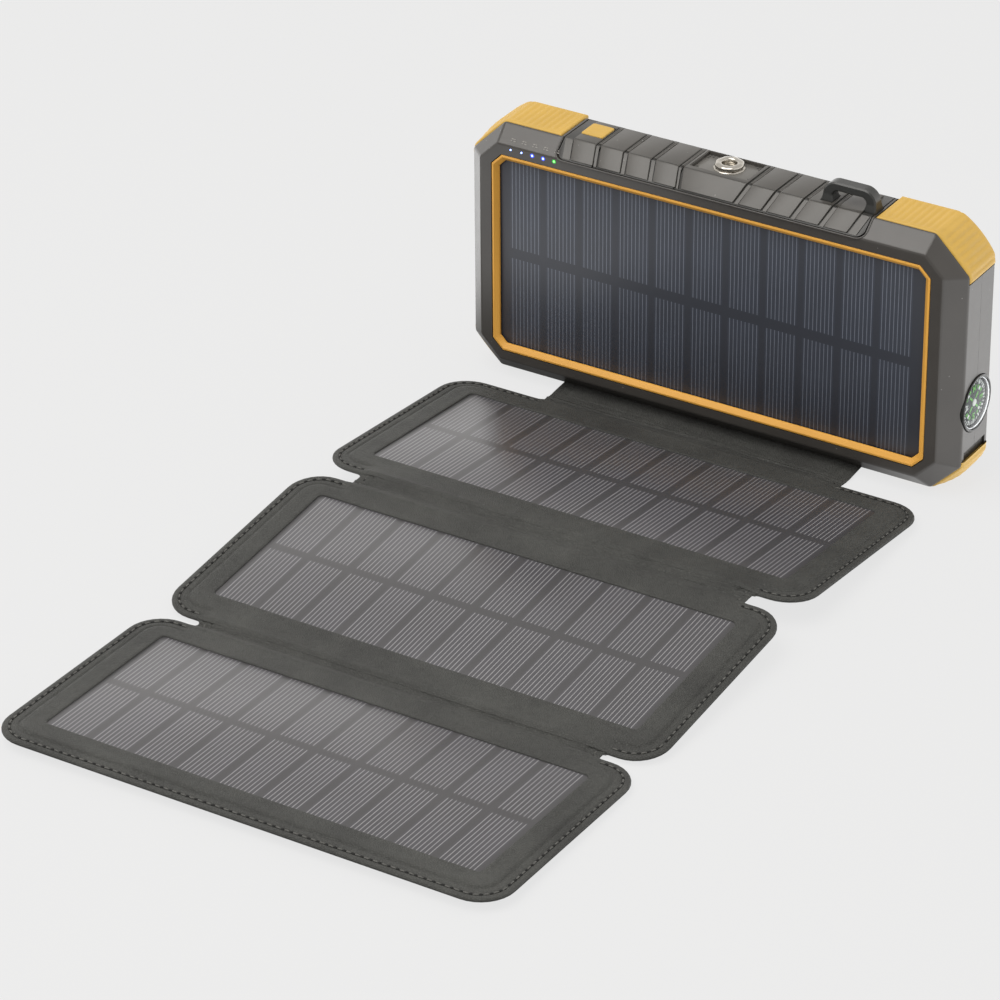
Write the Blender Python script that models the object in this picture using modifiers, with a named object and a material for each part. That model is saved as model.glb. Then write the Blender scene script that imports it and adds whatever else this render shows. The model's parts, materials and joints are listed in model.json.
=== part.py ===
"""Solar phone charger: an upright power bank with a fold-out folio of three solar panels.

Lengths are in metres. +Z is up, the bank faces -Y, and the folio runs out from its foot along -Y.
The origin is at the middle of the whole object's footprint, on the surface it stands on.
"""

import math

import bmesh
import bpy

# ---------------------------------------------------------------- driving dimensions

# power bank housing, an octagon seen from the front
HALF_WIDTH = 0.088
HOUSING_LOW = 0.0009
HOUSING_HIGH = 0.0883
THICKNESS = 0.029
EDGE_BEVEL = 0.0058  # depth of the sloping border, front and rear
CORNER_LOW = 0.0099  # legs of the cut corners
CORNER_HIGH = 0.0118
WALL = 0.0024
FIT = 0.0003  # gap between neighbouring pieces

# flat face in the middle of the front and the rear
FACE_HALF = 0.082
FACE_LOW = 0.0066
FACE_HIGH = 0.0834
FACE_CORNER_LOW = 0.007
FACE_CORNER_HIGH = 0.0064

# trim ring and the solar panel behind it
RING_HALF = 0.07775
RING_LOW = 0.0099
RING_HIGH = 0.0795
RING_CORNER = 0.0037
RING_WIDTH = 0.0021
RING_DEPTH = 0.0017
PANEL_DEPTH = 0.002  # from the front face back to the solar panel
LAMINATE = 0.001

# corner bumpers
BUMPER_END = 0.0556  # where the upper bumpers stop on the top, from the middle
BUMPER_DROP = 0.0149  # how far the upper bumpers reach down the sides
BUMPER_INSET = 0.0012
BUMPER_PROUD = 0.0005
FOOT_END = 0.0645
FOOT_RISE = 0.0111
FOOT_PROUD = 0.0009

# strip of trim along the top
STRIP_HALF = 0.0542
STRIP_BACK = 0.0223
STRIP_SKIN = 0.00115
STRIP_CORNER = 0.0025
BLOCK_RISE = 0.0005
BLOCK_SPLAY = 0.0012  # the blocks' side edges lean inwards this much down the bevel
BLOCK_WIDTH = 0.008
BLOCK_PITCH = 0.0099
BLOCK_FIRST = 0.0131  # inner edge of the first block beside the middle one
MIDDLE_HALF = 0.0112
COVER_LEFT = -0.041  # the port cover fills the strip from here ...
COVER_RIGHT = -0.0116  # ... to here

# fittings
BUTTON_X = -0.047
BUTTON_Y = 0.014
BUTTON_SIZE = (0.0078, 0.008)
STUD_Y = 0.0145
STUD_PLATE_TOP = 0.0877
STUD_TOP = 0.0896
LOOP_X = 0.0452
LOOP_Y = 0.01015
LOOP_DEPTH = 0.0033
LOOP_HALF = 0.0089
LOOP_BAR = 0.0029
LOOP_TOP = 0.0954
LED_FIRST = -0.0707
LED_PITCH = 0.004
LED_Z = 0.082
COMPASS_Z = 0.0295
COMPASS_RADIUS = 0.0092

# folio
PANEL_WIDTH = 0.1699
PANEL_LENGTH = 0.0812
PANEL_THICK = 0.0028
PANEL_CORNER = 0.011
WINDOW_WIDTH = 0.146
WINDOW_LENGTH = 0.0583
WINDOW_BACK = 0.0106  # leather between the panel's back edge and its window
BACKING = 0.0006
BOARD = 0.0006
SOLAR = 0.0007
LAYER_GAP = 0.0001
RIDGE_PITCH = math.radians(5.35)  # panels 1 and 2 lean against each other
LAST_PITCH = math.radians(1.38)
LEATHER = 0.0008

# hinge lines of the folio, as (y, z) from the foot of the bank's front face
BASE_AXIS = (0.0056, 0.0007)
COVER_AXIS = (-0.0072, 0.00294)
COVER_REACH = 0.00269  # from the cover's hinge line to panel 1's back edge
SPINE = 0.00634  # between the two hinge lines of the second fold
FOLD_C_NEAR = 0.002  # third fold's line from panel 2's edge
FOLD_C_FAR = 0.0011  # and from panel 3's edge
FOLD_C_RISE = 0.00015  # and above their faces
STRAP_PITCH = math.radians(13.4)
STRAP_LENGTH = 0.027
STRAP_WIDTH = 0.018
STRAP_THICK = 0.0012
SNAP_REACH = 0.01933  # from the strap's hinge line to its snap

PARTING = THICKNESS / 2

# ---------------------------------------------------------------- scene and materials


def clear_scene():
    for old in list(bpy.data.objects):
        bpy.data.objects.remove(old, do_unlink=True)


def new_collection(name):
    made = bpy.data.collections.new(name)
    bpy.context.scene.collection.children.link(made)
    return made


clear_scene()
PARTS = new_collection("solar_phone_charger")
CUTTERS = new_collection("cutters")


def material(name, colour, roughness, metallic=0.0):
    made = bpy.data.materials.new(name)
    made.use_nodes = True
    shader = made.node_tree.nodes["Principled BSDF"]
    shader.inputs["Base Color"].default_value = (*colour, 1)
    shader.inputs["Roughness"].default_value = roughness
    shader.inputs["Metallic"].default_value = metallic
    return made


HOUSING = material("housing_plastic", (0.075, 0.073, 0.068), 0.38)
TRIM = material("trim_plastic", (0.11, 0.108, 0.1), 0.3)
AMBER = material("amber_rubber", (0.83, 0.42, 0.06), 0.55)
SILICON = material("solar_cell", (0.02, 0.024, 0.034), 0.22)
LEATHERETTE = material("leatherette", (0.08, 0.08, 0.075), 0.62)
BOARD_GREY = material("stiffener_board", (0.3, 0.27, 0.22), 0.9)
STEEL = material("plated_steel", (0.62, 0.61, 0.58), 0.28, 1.0)
CLEAR = material("clear_plastic", (0.85, 0.9, 0.92), 0.08)
DIAL = material("compass_dial", (0.3, 0.42, 0.24), 0.5)
BLACK = material("black_plastic", (0.02, 0.02, 0.02), 0.5)
CELL_FOIL = material("battery_foil", (0.42, 0.44, 0.46), 0.4, 0.6)
FOAM = material("foam", (0.05, 0.05, 0.05), 0.95)
BOARD_GREEN = material("circuit_board", (0.02, 0.16, 0.06), 0.45)

# ---------------------------------------------------------------- placing


def axis_empty(name, y, z, tilt=0.0):
    """An empty on a line along X, tilted so that its -Y points along the piece that turns there."""
    made = bpy.data.objects.new(name, None)
    made.location = (0, y, z)
    made.rotation_euler = (tilt, 0, 0)
    made.empty_display_size = 0.01
    PARTS.objects.link(made)
    return made


def along(start, pitch, reach, lift):
    """The (y, z) point at reach along a panel that rises at pitch towards -Y, and lift above it."""
    y, z = start
    return (
        y - reach * math.cos(pitch) + lift * math.sin(pitch),
        z + reach * math.sin(pitch) + lift * math.cos(pitch),
    )


spine_near = along(COVER_AXIS, RIDGE_PITCH, COVER_REACH + PANEL_LENGTH, -PANEL_THICK / 2)
spine_far = (spine_near[0] - SPINE, spine_near[1])
fold_c = along(spine_far, -RIDGE_PITCH, PANEL_LENGTH + FOLD_C_NEAR, PANEL_THICK / 2 + FOLD_C_RISE)
last_edge = along(fold_c, LAST_PITCH, FOLD_C_FAR + PANEL_LENGTH, -FOLD_C_RISE - PANEL_THICK)
strap_axis = (spine_near[0] - SPINE / 2 - 0.0011, spine_near[1] - 0.0019)

# the bank's front face, placed so that the footprint's middle is at the origin
BANK_Y = -(THICKNESS + last_edge[0]) / 2


def folio_empty(name, point, tilt=0.0):
    return axis_empty(name, BANK_Y + point[0], point[1], tilt)


bank = axis_empty("bank_front_foot", BANK_Y, 0)
strip_a_axis = folio_empty("strip_a_axis", BASE_AXIS)
panel_1_axis = folio_empty("panel_1_axis", COVER_AXIS, -RIDGE_PITCH)
spine_axis = folio_empty("spine_axis", spine_near)
panel_2_axis = folio_empty("panel_2_axis", spine_far, RIDGE_PITCH)
panel_3_axis = folio_empty("panel_3_axis", fold_c, -LAST_PITCH)
strap_hinge = folio_empty("strap_axis", strap_axis, STRAP_PITCH)
cover_axis = axis_empty("port_cover_axis", BANK_Y + STRIP_BACK, HOUSING_HIGH)

# ---------------------------------------------------------------- solids


def add(name, mesh, parent, finish, location=(0, 0, 0), rotation=(0, 0, 0), smooth=False):
    """An object of the model, or a cutter when it has no finish."""
    made = bpy.data.objects.new(name, mesh)
    made.location = location
    made.rotation_euler = rotation
    made.parent = parent
    if finish:
        mesh.materials.append(finish)
        PARTS.objects.link(made)
    else:
        CUTTERS.objects.link(made)
        made.hide_render = True
        made.display_type = "WIRE"
    if smooth:
        mesh.shade_smooth()
        mesh.set_sharp_from_angle(angle=math.radians(35))
    return made


def mesh_of(name, shape):
    bmesh.ops.recalc_face_normals(shape, faces=shape.faces[:])
    mesh = bpy.data.meshes.new(name)
    shape.to_mesh(mesh)
    shape.free()
    return mesh


def box(name, low, high, parent=None, finish=None):
    shape = bmesh.new()
    bmesh.ops.create_cube(shape, size=1)
    for v in shape.verts:
        v.co = [low[i] + (high[i] - low[i]) * (v.co[i] + 0.5) for i in range(3)]
    return add(name, mesh_of(name, shape), parent, finish)


AXIS_TURN = {"X": (0, math.pi / 2, 0), "Y": (-math.pi / 2, 0, 0), "Z": (0, 0, 0)}


def cylinder(name, radius, start, length, axis, parent=None, finish=None, sides=24, tip=None):
    """A cylinder or cone from start along +axis."""
    shape = bmesh.new()
    bmesh.ops.create_cone(
        shape,
        cap_ends=True,
        segments=sides,
        radius1=radius,
        radius2=radius if tip is None else tip,
        depth=length,
    )
    for v in shape.verts:
        v.co.z += length / 2
    return add(name, mesh_of(name, shape), parent, finish, start, AXIS_TURN[axis], smooth=True)


def loft(name, rings, parent=None, finish=None, closed=False):
    """A skin over rings with equally many points, capped at its ends or closed into a loop."""
    shape = bmesh.new()
    rows = [[shape.verts.new(point) for point in ring] for ring in rings]
    pairs = list(zip(rows, rows[1:] + rows[:1] if closed else rows[1:]))
    count = len(rings[0])
    for near, far in pairs:
        for i in range(count):
            j = (i + 1) % count
            shape.faces.new((near[i], near[j], far[j], far[i]))
    if not closed:
        shape.faces.new(rows[0])
        shape.faces.new(rows[-1])
    return add(name, mesh_of(name, shape), parent, finish)


PLANE_TURN = {"XY": (0, 0, 0), "XZ": (math.pi / 2, 0, 0), "YZ": (math.pi / 2, 0, math.pi / 2)}


def plate(name, loops, thickness, plane, centre, parent=None, finish=None):
    """A flat plate in a plane; loops after the first are holes in it."""
    curve = bpy.data.curves.new(name, "CURVE")
    curve.dimensions = "2D"
    curve.fill_mode = "BOTH"
    curve.extrude = thickness / 2
    for loop in loops:
        spline = curve.splines.new("POLY")
        spline.points.add(len(loop) - 1)
        for point, (u, v) in zip(spline.points, loop):
            point.co = (u, v, 0, 1)
        spline.use_cyclic_u = True
    guide = bpy.data.objects.new(name + "_outline", curve)
    bpy.context.scene.collection.objects.link(guide)
    graph = bpy.context.evaluated_depsgraph_get()
    mesh = bpy.data.meshes.new_from_object(guide.evaluated_get(graph))
    bpy.data.objects.remove(guide)
    shape = bmesh.new()
    shape.from_mesh(mesh)
    bmesh.ops.remove_doubles(shape, verts=shape.verts[:], dist=1e-6)
    bmesh.ops.recalc_face_normals(shape, faces=shape.faces[:])
    mesh.clear_geometry()
    shape.to_mesh(mesh)
    shape.free()
    return add(name, mesh, parent, finish, centre, PLANE_TURN[plane])


def turned(name, profile, start, axis, parent, finish, steps=24):
    """A solid turned about an axis through start: profile is (radius, height), downwards."""
    shape = bmesh.new()
    points = [shape.verts.new((radius, 0, height)) for radius, height in profile]
    for near, far in zip(points, points[1:]):
        shape.edges.new((near, far))
    mesh = bpy.data.meshes.new(name)
    shape.to_mesh(mesh)
    shape.free()
    made = add(name, mesh, parent, finish, start, AXIS_TURN[axis])
    screw = made.modifiers.new("turn", "SCREW")
    screw.axis = "Z"
    screw.steps = steps
    screw.render_steps = steps
    screw.use_merge_vertices = True
    screw.merge_threshold = 0.00001
    screw.use_smooth_shade = True
    return made


def boolean(target, operand, operation):
    step = target.modifiers.new(operand.name, "BOOLEAN")
    step.object = operand
    step.operation = operation
    step.solver = "EXACT"


def cut(target, *cutters):
    for cutter in cutters:
        boolean(target, cutter, "DIFFERENCE")


def join(target, *others):
    for other in others:
        boolean(target, other, "UNION")


def soften(target, width, segments=2):
    bevel = target.modifiers.new("rounded edges", "BEVEL")
    bevel.width = width
    bevel.segments = segments
    bevel.limit_method = "ANGLE"
    bevel.angle_limit = math.radians(30)


# ---------------------------------------------------------------- outlines


def octagon(half, low, high, low_cut, high_cut, grow=0.0):
    """Corners (x, z) of an upright octagon, moved outwards by grow."""
    side = half + grow
    bottom = low - grow
    top = high + grow
    near = low_cut + grow * (2 - math.sqrt(2))
    far = high_cut + grow * (2 - math.sqrt(2))
    return [
        (near - side, bottom),
        (side - near, bottom),
        (side, bottom + near),
        (side, top - far),
        (side - far, top),
        (far - side, top),
        (-side, top - far),
        (-side, bottom + near),
    ]


def housing_outline(grow=0.0):
    return octagon(HALF_WIDTH, HOUSING_LOW, HOUSING_HIGH, CORNER_LOW, CORNER_HIGH, grow)


def face_outline(grow=0.0):
    return octagon(FACE_HALF, FACE_LOW, FACE_HIGH, FACE_CORNER_LOW, FACE_CORNER_HIGH, grow)


def ring_outline(grow=0.0):
    return octagon(RING_HALF, RING_LOW, RING_HIGH, RING_CORNER, RING_CORNER, grow)


def at_depth(outline, y):
    return [(x, y, z) for x, z in outline]


def rounded_rectangle(width, length, radius, middle=(0.0, 0.0), steps=5):
    """An anticlockwise outline with arcs of the given radius at its corners."""
    points = []
    for quarter, (sx, sy) in enumerate(((1, 1), (-1, 1), (-1, -1), (1, -1))):
        cx = middle[0] + sx * (width / 2 - radius)
        cy = middle[1] + sy * (length / 2 - radius)
        for step in range(steps + 1):
            angle = math.pi / 2 * (quarter + step / steps)
            points.append((cx + radius * math.cos(angle), cy + radius * math.sin(angle)))
    return points


# ---------------------------------------------------------------- housing

SCREW_PLACES = [(x, z) for x in (-0.077, 0.077) for z in (0.0165, 0.0735)]
LED_PLACES = [LED_FIRST + LED_PITCH * i for i in range(5)]
PORT_A_X = -0.0335
PORT_C_X = -0.0193
PORT_Y = 0.0145
LINE_OF_LEDS = range(1, 6)


def block_spans():
    """(left, right) of the raised blocks along the top, at the top of the bevel."""
    spans = [(-MIDDLE_HALF, MIDDLE_HALF)]
    for i in range(4):
        inner = BLOCK_FIRST + BLOCK_PITCH * i
        spans.append((inner, inner + BLOCK_WIDTH))
        spans.append((-inner - BLOCK_WIDTH, -inner))
    return sorted(spans)


def strip_section(x, grow=0.0, slide=0.0, tall=0.0):
    """Cross-section of the strip at x: down the bevel and along the top.

    grow makes it larger for the recess, slide shortens its lower end, tall raises its outside.
    """
    slope_y = EDGE_BEVEL
    slope_z = HOUSING_HIGH - FACE_HIGH
    length = math.hypot(slope_y, slope_z)
    start_y = slide * slope_y / length
    start_z = FACE_HIGH + slide * slope_z / length
    skin_y = STRIP_SKIN + grow
    back = STRIP_BACK + grow
    floor = HOUSING_HIGH - STRIP_SKIN - grow
    return [
        (x, start_y - tall, start_z - grow),
        (x, slope_y - tall, HOUSING_HIGH + tall),
        (x, back, HOUSING_HIGH + tall),
        (x, back, floor),
        (x, slope_y + 0.0002, floor),
        (x, start_y + skin_y + 0.0005, start_z - grow),
    ]


def strip_body(name, left, right, finish=None, parent=None, grow=0.0, tall=0.0):
    """The strip between two x, with its outer lower corners cut off."""
    sections = [strip_section(left, grow, tall=tall), strip_section(right, grow, tall=tall)]
    if left < -STRIP_HALF + STRIP_CORNER:
        sections[0] = strip_section(left, grow, STRIP_CORNER, tall)
        sections.insert(1, strip_section(left + STRIP_CORNER, grow, tall=tall))
    if right > STRIP_HALF - STRIP_CORNER:
        sections[-1] = strip_section(right, grow, STRIP_CORNER, tall)
        sections.insert(-1, strip_section(right - STRIP_CORNER, grow, tall=tall))
    return loft(name, sections, parent, finish)


def block(name, left, right):
    """A raised block that leans inwards as it runs down the bevel."""
    lean = BLOCK_SPLAY * (0 if left < 0 < right else math.copysign(1, left))
    rise = BLOCK_RISE

    def section(x, splay):
        low = x - splay
        return [
            (low, 0.0004, 0.0843 + rise * 0.3),
            (x, EDGE_BEVEL - rise * 0.4, HOUSING_HIGH + rise),
            (x, 0.0203, HOUSING_HIGH + rise),
            (x, 0.021, HOUSING_HIGH - 0.0001),
            (x, 0.0209, HOUSING_HIGH - 0.0005),
            (x, EDGE_BEVEL + 0.0003, HOUSING_HIGH - 0.0005),
            (low, 0.0014, 0.0841),
        ]

    if lean:
        return loft(name, [section(left, lean), section(right, lean)], bank)
    return loft(name, [section(left, -BLOCK_SPLAY), section(right, BLOCK_SPLAY)], bank)


def shared_cutters():
    """Recesses that both halves of the housing share."""
    made = []
    for side, word in ((-1, "left"), (1, "right")):
        for top in (True, False):
            name = f"recess_{'top' if top else 'bottom'}_{word}"
            outline = bumper_outline(side, top, FIT)
            depth = THICKNESS - 2 * EDGE_BEVEL - 0.0004
            made.append(plate(name, [outline], depth, "XZ", (0, PARTING, 0), bank))
        x = side * (HALF_WIDTH + 0.0008)
        near = min(x, x - side * 0.0018)
        far = max(x, x - side * 0.0018)
        groove_low = HOUSING_LOW + FOOT_RISE + 0.0001
        low = (near, 0.0079, groove_low)
        made.append(box(f"groove_{word}", low, (far, 0.0211, groove_low + 0.0028), bank))
    made.append(strip_body("recess_strip", -STRIP_HALF - FIT, STRIP_HALF + FIT, None, bank, FIT, 0.003))
    made.append(cylinder("compass_hole", COMPASS_RADIUS + 0.00025, (0.08, PARTING, COMPASS_Z), 0.012, "X", bank))
    for word, x, size in (("a", PORT_A_X, (0.0137, 0.0062)), ("c", PORT_C_X, (0.0095, 0.0038))):
        low = (x - size[0] / 2, PORT_Y - size[1] / 2, 0.08)
        high = (x + size[0] / 2, PORT_Y + size[1] / 2, 0.092)
        made.append(box(f"port_hole_{word}", low, high, bank))
    made.append(cylinder("stud_hole", 0.0019, (0, STUD_Y, 0.08), 0.012, "Z", bank))
    low = (BUTTON_X - 0.0022, BUTTON_Y - 0.0022, 0.083)
    made.append(box("button_hole", low, (BUTTON_X + 0.0022, BUTTON_Y + 0.0022, 0.092), bank))
    for side in (-1, 1):
        made.append(loop_slot(side, f"loop_hole_{side + 1}"))
    return made


def loop_slot(side, name):
    x = LOOP_X + side * (LOOP_HALF - LOOP_BAR / 2)
    half_x = LOOP_BAR / 2 + 0.0003
    half_y = LOOP_DEPTH / 2 + 0.0003
    return box(name, (x - half_x, LOOP_Y - half_y, 0.084), (x + half_x, LOOP_Y + half_y, 0.0905), bank)


def bumper_outline(side, top, grow=0.0):
    """Outline (x, z) of the rubber at one corner; grow makes the recess that holds it."""
    proud = BUMPER_PROUD if top else FOOT_PROUD
    outer = housing_outline(proud + (0.001 if grow else 0))
    inner = housing_outline(-BUMPER_INSET - grow)
    if top:
        corner = (4, 3)
        start = BUMPER_END - grow
        end = HOUSING_HIGH - BUMPER_DROP - grow
    else:
        corner = (1, 2)
        start = FOOT_END - grow
        end = HOUSING_LOW + FOOT_RISE + grow
    out_a, out_b = outer[corner[0]], outer[corner[1]]
    in_a, in_b = inner[corner[0]], inner[corner[1]]
    points = [(start, out_a[1]), out_a, out_b, (out_b[0], end), (in_b[0], end), in_b, in_a, (start, in_a[1])]
    return [(side * x, z) for x, z in points]


def build_housing():
    gap = FIT / 2
    front = loft(
        "front_shell",
        [
            at_depth(face_outline(), 0),
            at_depth(housing_outline(), EDGE_BEVEL),
            at_depth(housing_outline(), PARTING - gap),
        ],
        bank,
        HOUSING,
    )
    rear = loft(
        "rear_shell",
        [
            at_depth(housing_outline(), PARTING + gap),
            at_depth(housing_outline(), THICKNESS - EDGE_BEVEL),
            at_depth(face_outline(), THICKNESS),
        ],
        bank,
        HOUSING,
    )
    floor = PANEL_DEPTH + LAMINATE + FIT
    inside = housing_outline(-WALL)
    cut(
        front,
        loft(
            "front_hollow",
            [at_depth(face_outline(-0.0015), floor + 0.0019), at_depth(inside, 0.0076), at_depth(inside, 0.02)],
            bank,
        ),
        loft("panel_recess", [at_depth(ring_outline(0.00025), -0.001), at_depth(ring_outline(0.00025), floor)], bank),
    )
    rear_floor = THICKNESS - 0.0022
    cut(
        rear,
        loft(
            "rear_hollow",
            [at_depth(inside, 0.009), at_depth(inside, 0.0215), at_depth(face_outline(-0.0015), rear_floor)],
            bank,
        ),
    )
    for number, (x, z) in enumerate(SCREW_PLACES, 1):
        join(front, cylinder(f"post_{number}", 0.0029, (x, floor + 0.0008, z), 0.0206, "Y", bank, sides=20))
        cut(
            front,
            cylinder(f"post_bore_{number}", 0.00115, (x, 0.0165, z), 0.012, "Y", bank, sides=16),
        )
        cut(
            rear,
            cylinder(f"screw_hole_{number}", 0.0016, (x, 0.0225, z), 0.01, "Y", bank, sides=16),
            cylinder(f"screw_seat_{number}", 0.0029, (x, THICKNESS - 0.0014, z), 0.003, "Y", bank, sides=20),
        )
        finish = cylinder(
            f"case_screw_{number}", 0.0025, (x, THICKNESS - 0.0012, z), 0.001, "Y", bank, STEEL, sides=20
        )
        shank = cylinder(f"shank_{number}", 0.0009, (x, 0.0182, z), 0.0098, "Y", bank, sides=12)
        slot_a = box(f"cross_{number}_a", (x - 0.0013, THICKNESS - 0.0006, z - 0.0003),
                     (x + 0.0013, THICKNESS + 0.001, z + 0.0003), bank)
        slot_b = box(f"cross_{number}_b", (x - 0.0003, THICKNESS - 0.0006, z - 0.0013),
                     (x + 0.0003, THICKNESS + 0.001, z + 0.0013), bank)
        join(finish, shank)
        cut(finish, slot_a, slot_b)
    for number, x in enumerate(LED_PLACES, 1):
        cut(front, cylinder(f"led_hole_{number}", 0.00075, (x, -0.001, LED_Z), 0.012, "Y", bank, sides=12))
        cylinder(f"led_lens_{number}", 0.0006, (x, -0.00005, LED_Z), 0.0062, "Y", bank, CLEAR, sides=12)
    low = (-0.0556, BASE_AXIS[0] + 0.0009, 0)
    cut(front, box("clamp_recess", low, (0.0556, 0.0138, HOUSING_LOW + 0.0016), bank))
    for x in (-0.04, 0.04):
        hole = (x, 0.0106, 0)
        cut(front, cylinder(f"clamp_hole_{x:.2f}", 0.0009, hole, 0.0065, "Z", bank, sides=12))
    for cutter in shared_cutters():
        cut(front, cutter)
        cut(rear, cutter)


def build_ring_and_panel():
    """The sloping picture-frame ring, and the solar panel that it holds."""
    loft(
        "trim_ring",
        [
            at_depth(ring_outline(), 0),
            at_depth(ring_outline(-0.0006), -0.0001),
            at_depth(ring_outline(-RING_WIDTH), RING_DEPTH - 0.0004),
            at_depth(ring_outline(-RING_WIDTH), RING_DEPTH),
            at_depth(ring_outline(), RING_DEPTH),
        ],
        bank,
        AMBER,
        closed=True,
    )
    centre = (0, PANEL_DEPTH + LAMINATE / 2, 0)
    plate("bank_solar_panel", [ring_outline(-0.0003)], LAMINATE, "XZ", centre, bank, SILICON)


def build_bumpers():
    depth = THICKNESS - 2 * EDGE_BEVEL - 0.001
    for side, word in ((-1, "left"), (1, "right")):
        for top in (True, False):
            name = f"{'top' if top else 'bottom'}_{word}_bumper"
            outline = bumper_outline(side, top)
            rubber = plate(name, [outline], depth, "XZ", (0, PARTING, 0), bank, AMBER)
            soften(rubber, 0.0003)


# ---------------------------------------------------------------- top strip and its fittings


def build_strip():
    surround = strip_body("button_surround", -STRIP_HALF, COVER_LEFT - FIT / 2, TRIM, bank)
    cover = strip_body("port_cover", COVER_LEFT + FIT / 2, COVER_RIGHT - FIT / 2, TRIM, bank)
    trim = strip_body("top_trim", COVER_RIGHT + FIT / 2, STRIP_HALF, TRIM, bank)
    for number, (left, right) in enumerate(block_spans()):
        owner = surround if right < COVER_LEFT else cover if right < COVER_RIGHT else trim
        join(owner, block(f"block_{number}", left, right))
    half_x, half_y = BUTTON_SIZE[0] / 2 + 0.0002, BUTTON_SIZE[1] / 2 + 0.0002
    low = (BUTTON_X - half_x, BUTTON_Y - half_y, 0.086)
    cut(surround, box("button_window", low, (BUTTON_X + half_x, BUTTON_Y + half_y, 0.092), bank))
    low = (-0.0103, 0.0076, 0.086)
    cut(trim, box("stud_window", low, (0.0103, 0.0211, 0.092), bank))
    for side in (-1, 1):
        cut(trim, loop_slot(side, f"loop_slot_{side + 1}"))
    # the cover turns about its rear top edge, so its origin sits there
    cover.parent = cover_axis
    cover.location = (0, -STRIP_BACK, -HOUSING_HIGH)


def build_button():
    half_x, half_y = BUTTON_SIZE[0] / 2, BUTTON_SIZE[1] / 2
    top = HOUSING_HIGH + BLOCK_RISE + 0.0003
    low = (BUTTON_X - half_x, BUTTON_Y - half_y, HOUSING_HIGH - 0.0003)
    cap = box("power_button", low, (BUTTON_X + half_x, BUTTON_Y + half_y, top), bank, AMBER)
    stem = box(
        "button_stem",
        (BUTTON_X - 0.0018, BUTTON_Y - 0.0018, 0.0852),
        (BUTTON_X + 0.0018, BUTTON_Y + 0.0018, top - 0.0005),
        bank,
    )
    join(cap, stem)
    low = (BUTTON_X - 0.003, BUTTON_Y - 0.0022, 0.0795)
    switch = box("button_switch", low, (BUTTON_X + 0.003, BUTTON_Y + 0.0028, 0.083), bank, BLACK)
    join(switch, cylinder("switch_nib", 0.0011, (BUTTON_X, BUTTON_Y, 0.0825), 0.0015, "Z", bank, sides=12))


def build_stud():
    low = (-0.01, 0.0079, HOUSING_HIGH - STRIP_SKIN)
    base = box("stud_plate", low, (0.01, 0.0208, STUD_PLATE_TOP), bank, TRIM)
    cut(base, cylinder("stud_plate_hole", 0.0019, (0, STUD_Y, 0.086), 0.003, "Z", bank))
    rise = STUD_TOP - STUD_PLATE_TOP - FIT
    profile = [
        (0, 0.0006),
        (0.0021, 0.0006),
        (0.0024, rise - 0.0003),
        (0.0029, rise),
        (0.0039, rise),
        (0.0046, rise - 0.0007),
        (0.0044, rise - 0.0014),
        (0.0047, 0),
        (0.0016, 0),
        (0.0016, -0.0036),
        (0, -0.0036),
    ]
    turned("snap_stud", profile, (0, STUD_Y, STUD_PLATE_TOP + FIT), "Z", bank, STEEL, 20)


def build_loop():
    """The lanyard loop: a staple with cut corners whose legs go down through the strip."""
    cut_corner = 0.002
    foot = 0.0852
    outer = [
        (-LOOP_HALF, foot),
        (-LOOP_HALF, LOOP_TOP - cut_corner),
        (-LOOP_HALF + cut_corner, LOOP_TOP),
        (LOOP_HALF - cut_corner, LOOP_TOP),
        (LOOP_HALF, LOOP_TOP - cut_corner),
        (LOOP_HALF, foot),
    ]
    reach = LOOP_HALF - LOOP_BAR
    under = LOOP_TOP - 0.0021
    inner = [(reach, foot), (reach, under - 0.0004), (reach - 0.0004, under)]
    inner += [(-x, z) for x, z in reversed(inner)]
    loop = plate("lanyard_loop", [outer + inner], LOOP_DEPTH, "XZ", (LOOP_X, LOOP_Y, 0), bank, BLACK)
    soften(loop, 0.00035, 1)


def build_compass():
    """A button compass let into the right-hand side."""
    face = HALF_WIDTH
    profile = [
        (COMPASS_RADIUS - 0.0012, 0),
        (COMPASS_RADIUS, 0),
        (COMPASS_RADIUS, -0.0026),
        (COMPASS_RADIUS - 0.0007, -0.0032),
        (COMPASS_RADIUS - 0.0007, -0.0054),
        (0, -0.0054),
        (0, -0.0044),
        (COMPASS_RADIUS - 0.0012, -0.0044),
        (COMPASS_RADIUS - 0.0012, 0),
    ]
    turned("compass_cup", profile, (face, PARTING, COMPASS_Z), "X", bank, BLACK, 28)
    cylinder("compass_pivot", 0.0003, (face - 0.0043, PARTING, COMPASS_Z), 0.0026, "X", bank, STEEL, 10, 0.00012)
    card = [
        (0, 0.0006),
        (0.0012, 0.0006),
        (0.0015, 0.0002),
        (COMPASS_RADIUS - 0.0019, 0.0002),
        (COMPASS_RADIUS - 0.0019, -0.0004),
        (0.0009, -0.0004),
        (0.0009, -0.0008),
        (0.0006, -0.0008),
        (0.0006, 0.0003),
        (0, 0.0003),
    ]
    turned("compass_card", card, (face - 0.0017, PARTING, COMPASS_Z), "X", bank, DIAL, 28)
    lens = [(0, 0.0016)]
    for step in range(1, 5):
        angle = math.radians(22 * step)
        lens.append(((COMPASS_RADIUS - 0.0001) * math.sin(angle), 0.0003 + 0.0013 * math.cos(angle)))
    lens += [(COMPASS_RADIUS - 0.0001, 0.0002), (0, 0.0002)]
    turned("compass_lens", lens, (face, PARTING, COMPASS_Z), "X", bank, CLEAR, 28)


# ---------------------------------------------------------------- inside the bank


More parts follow.
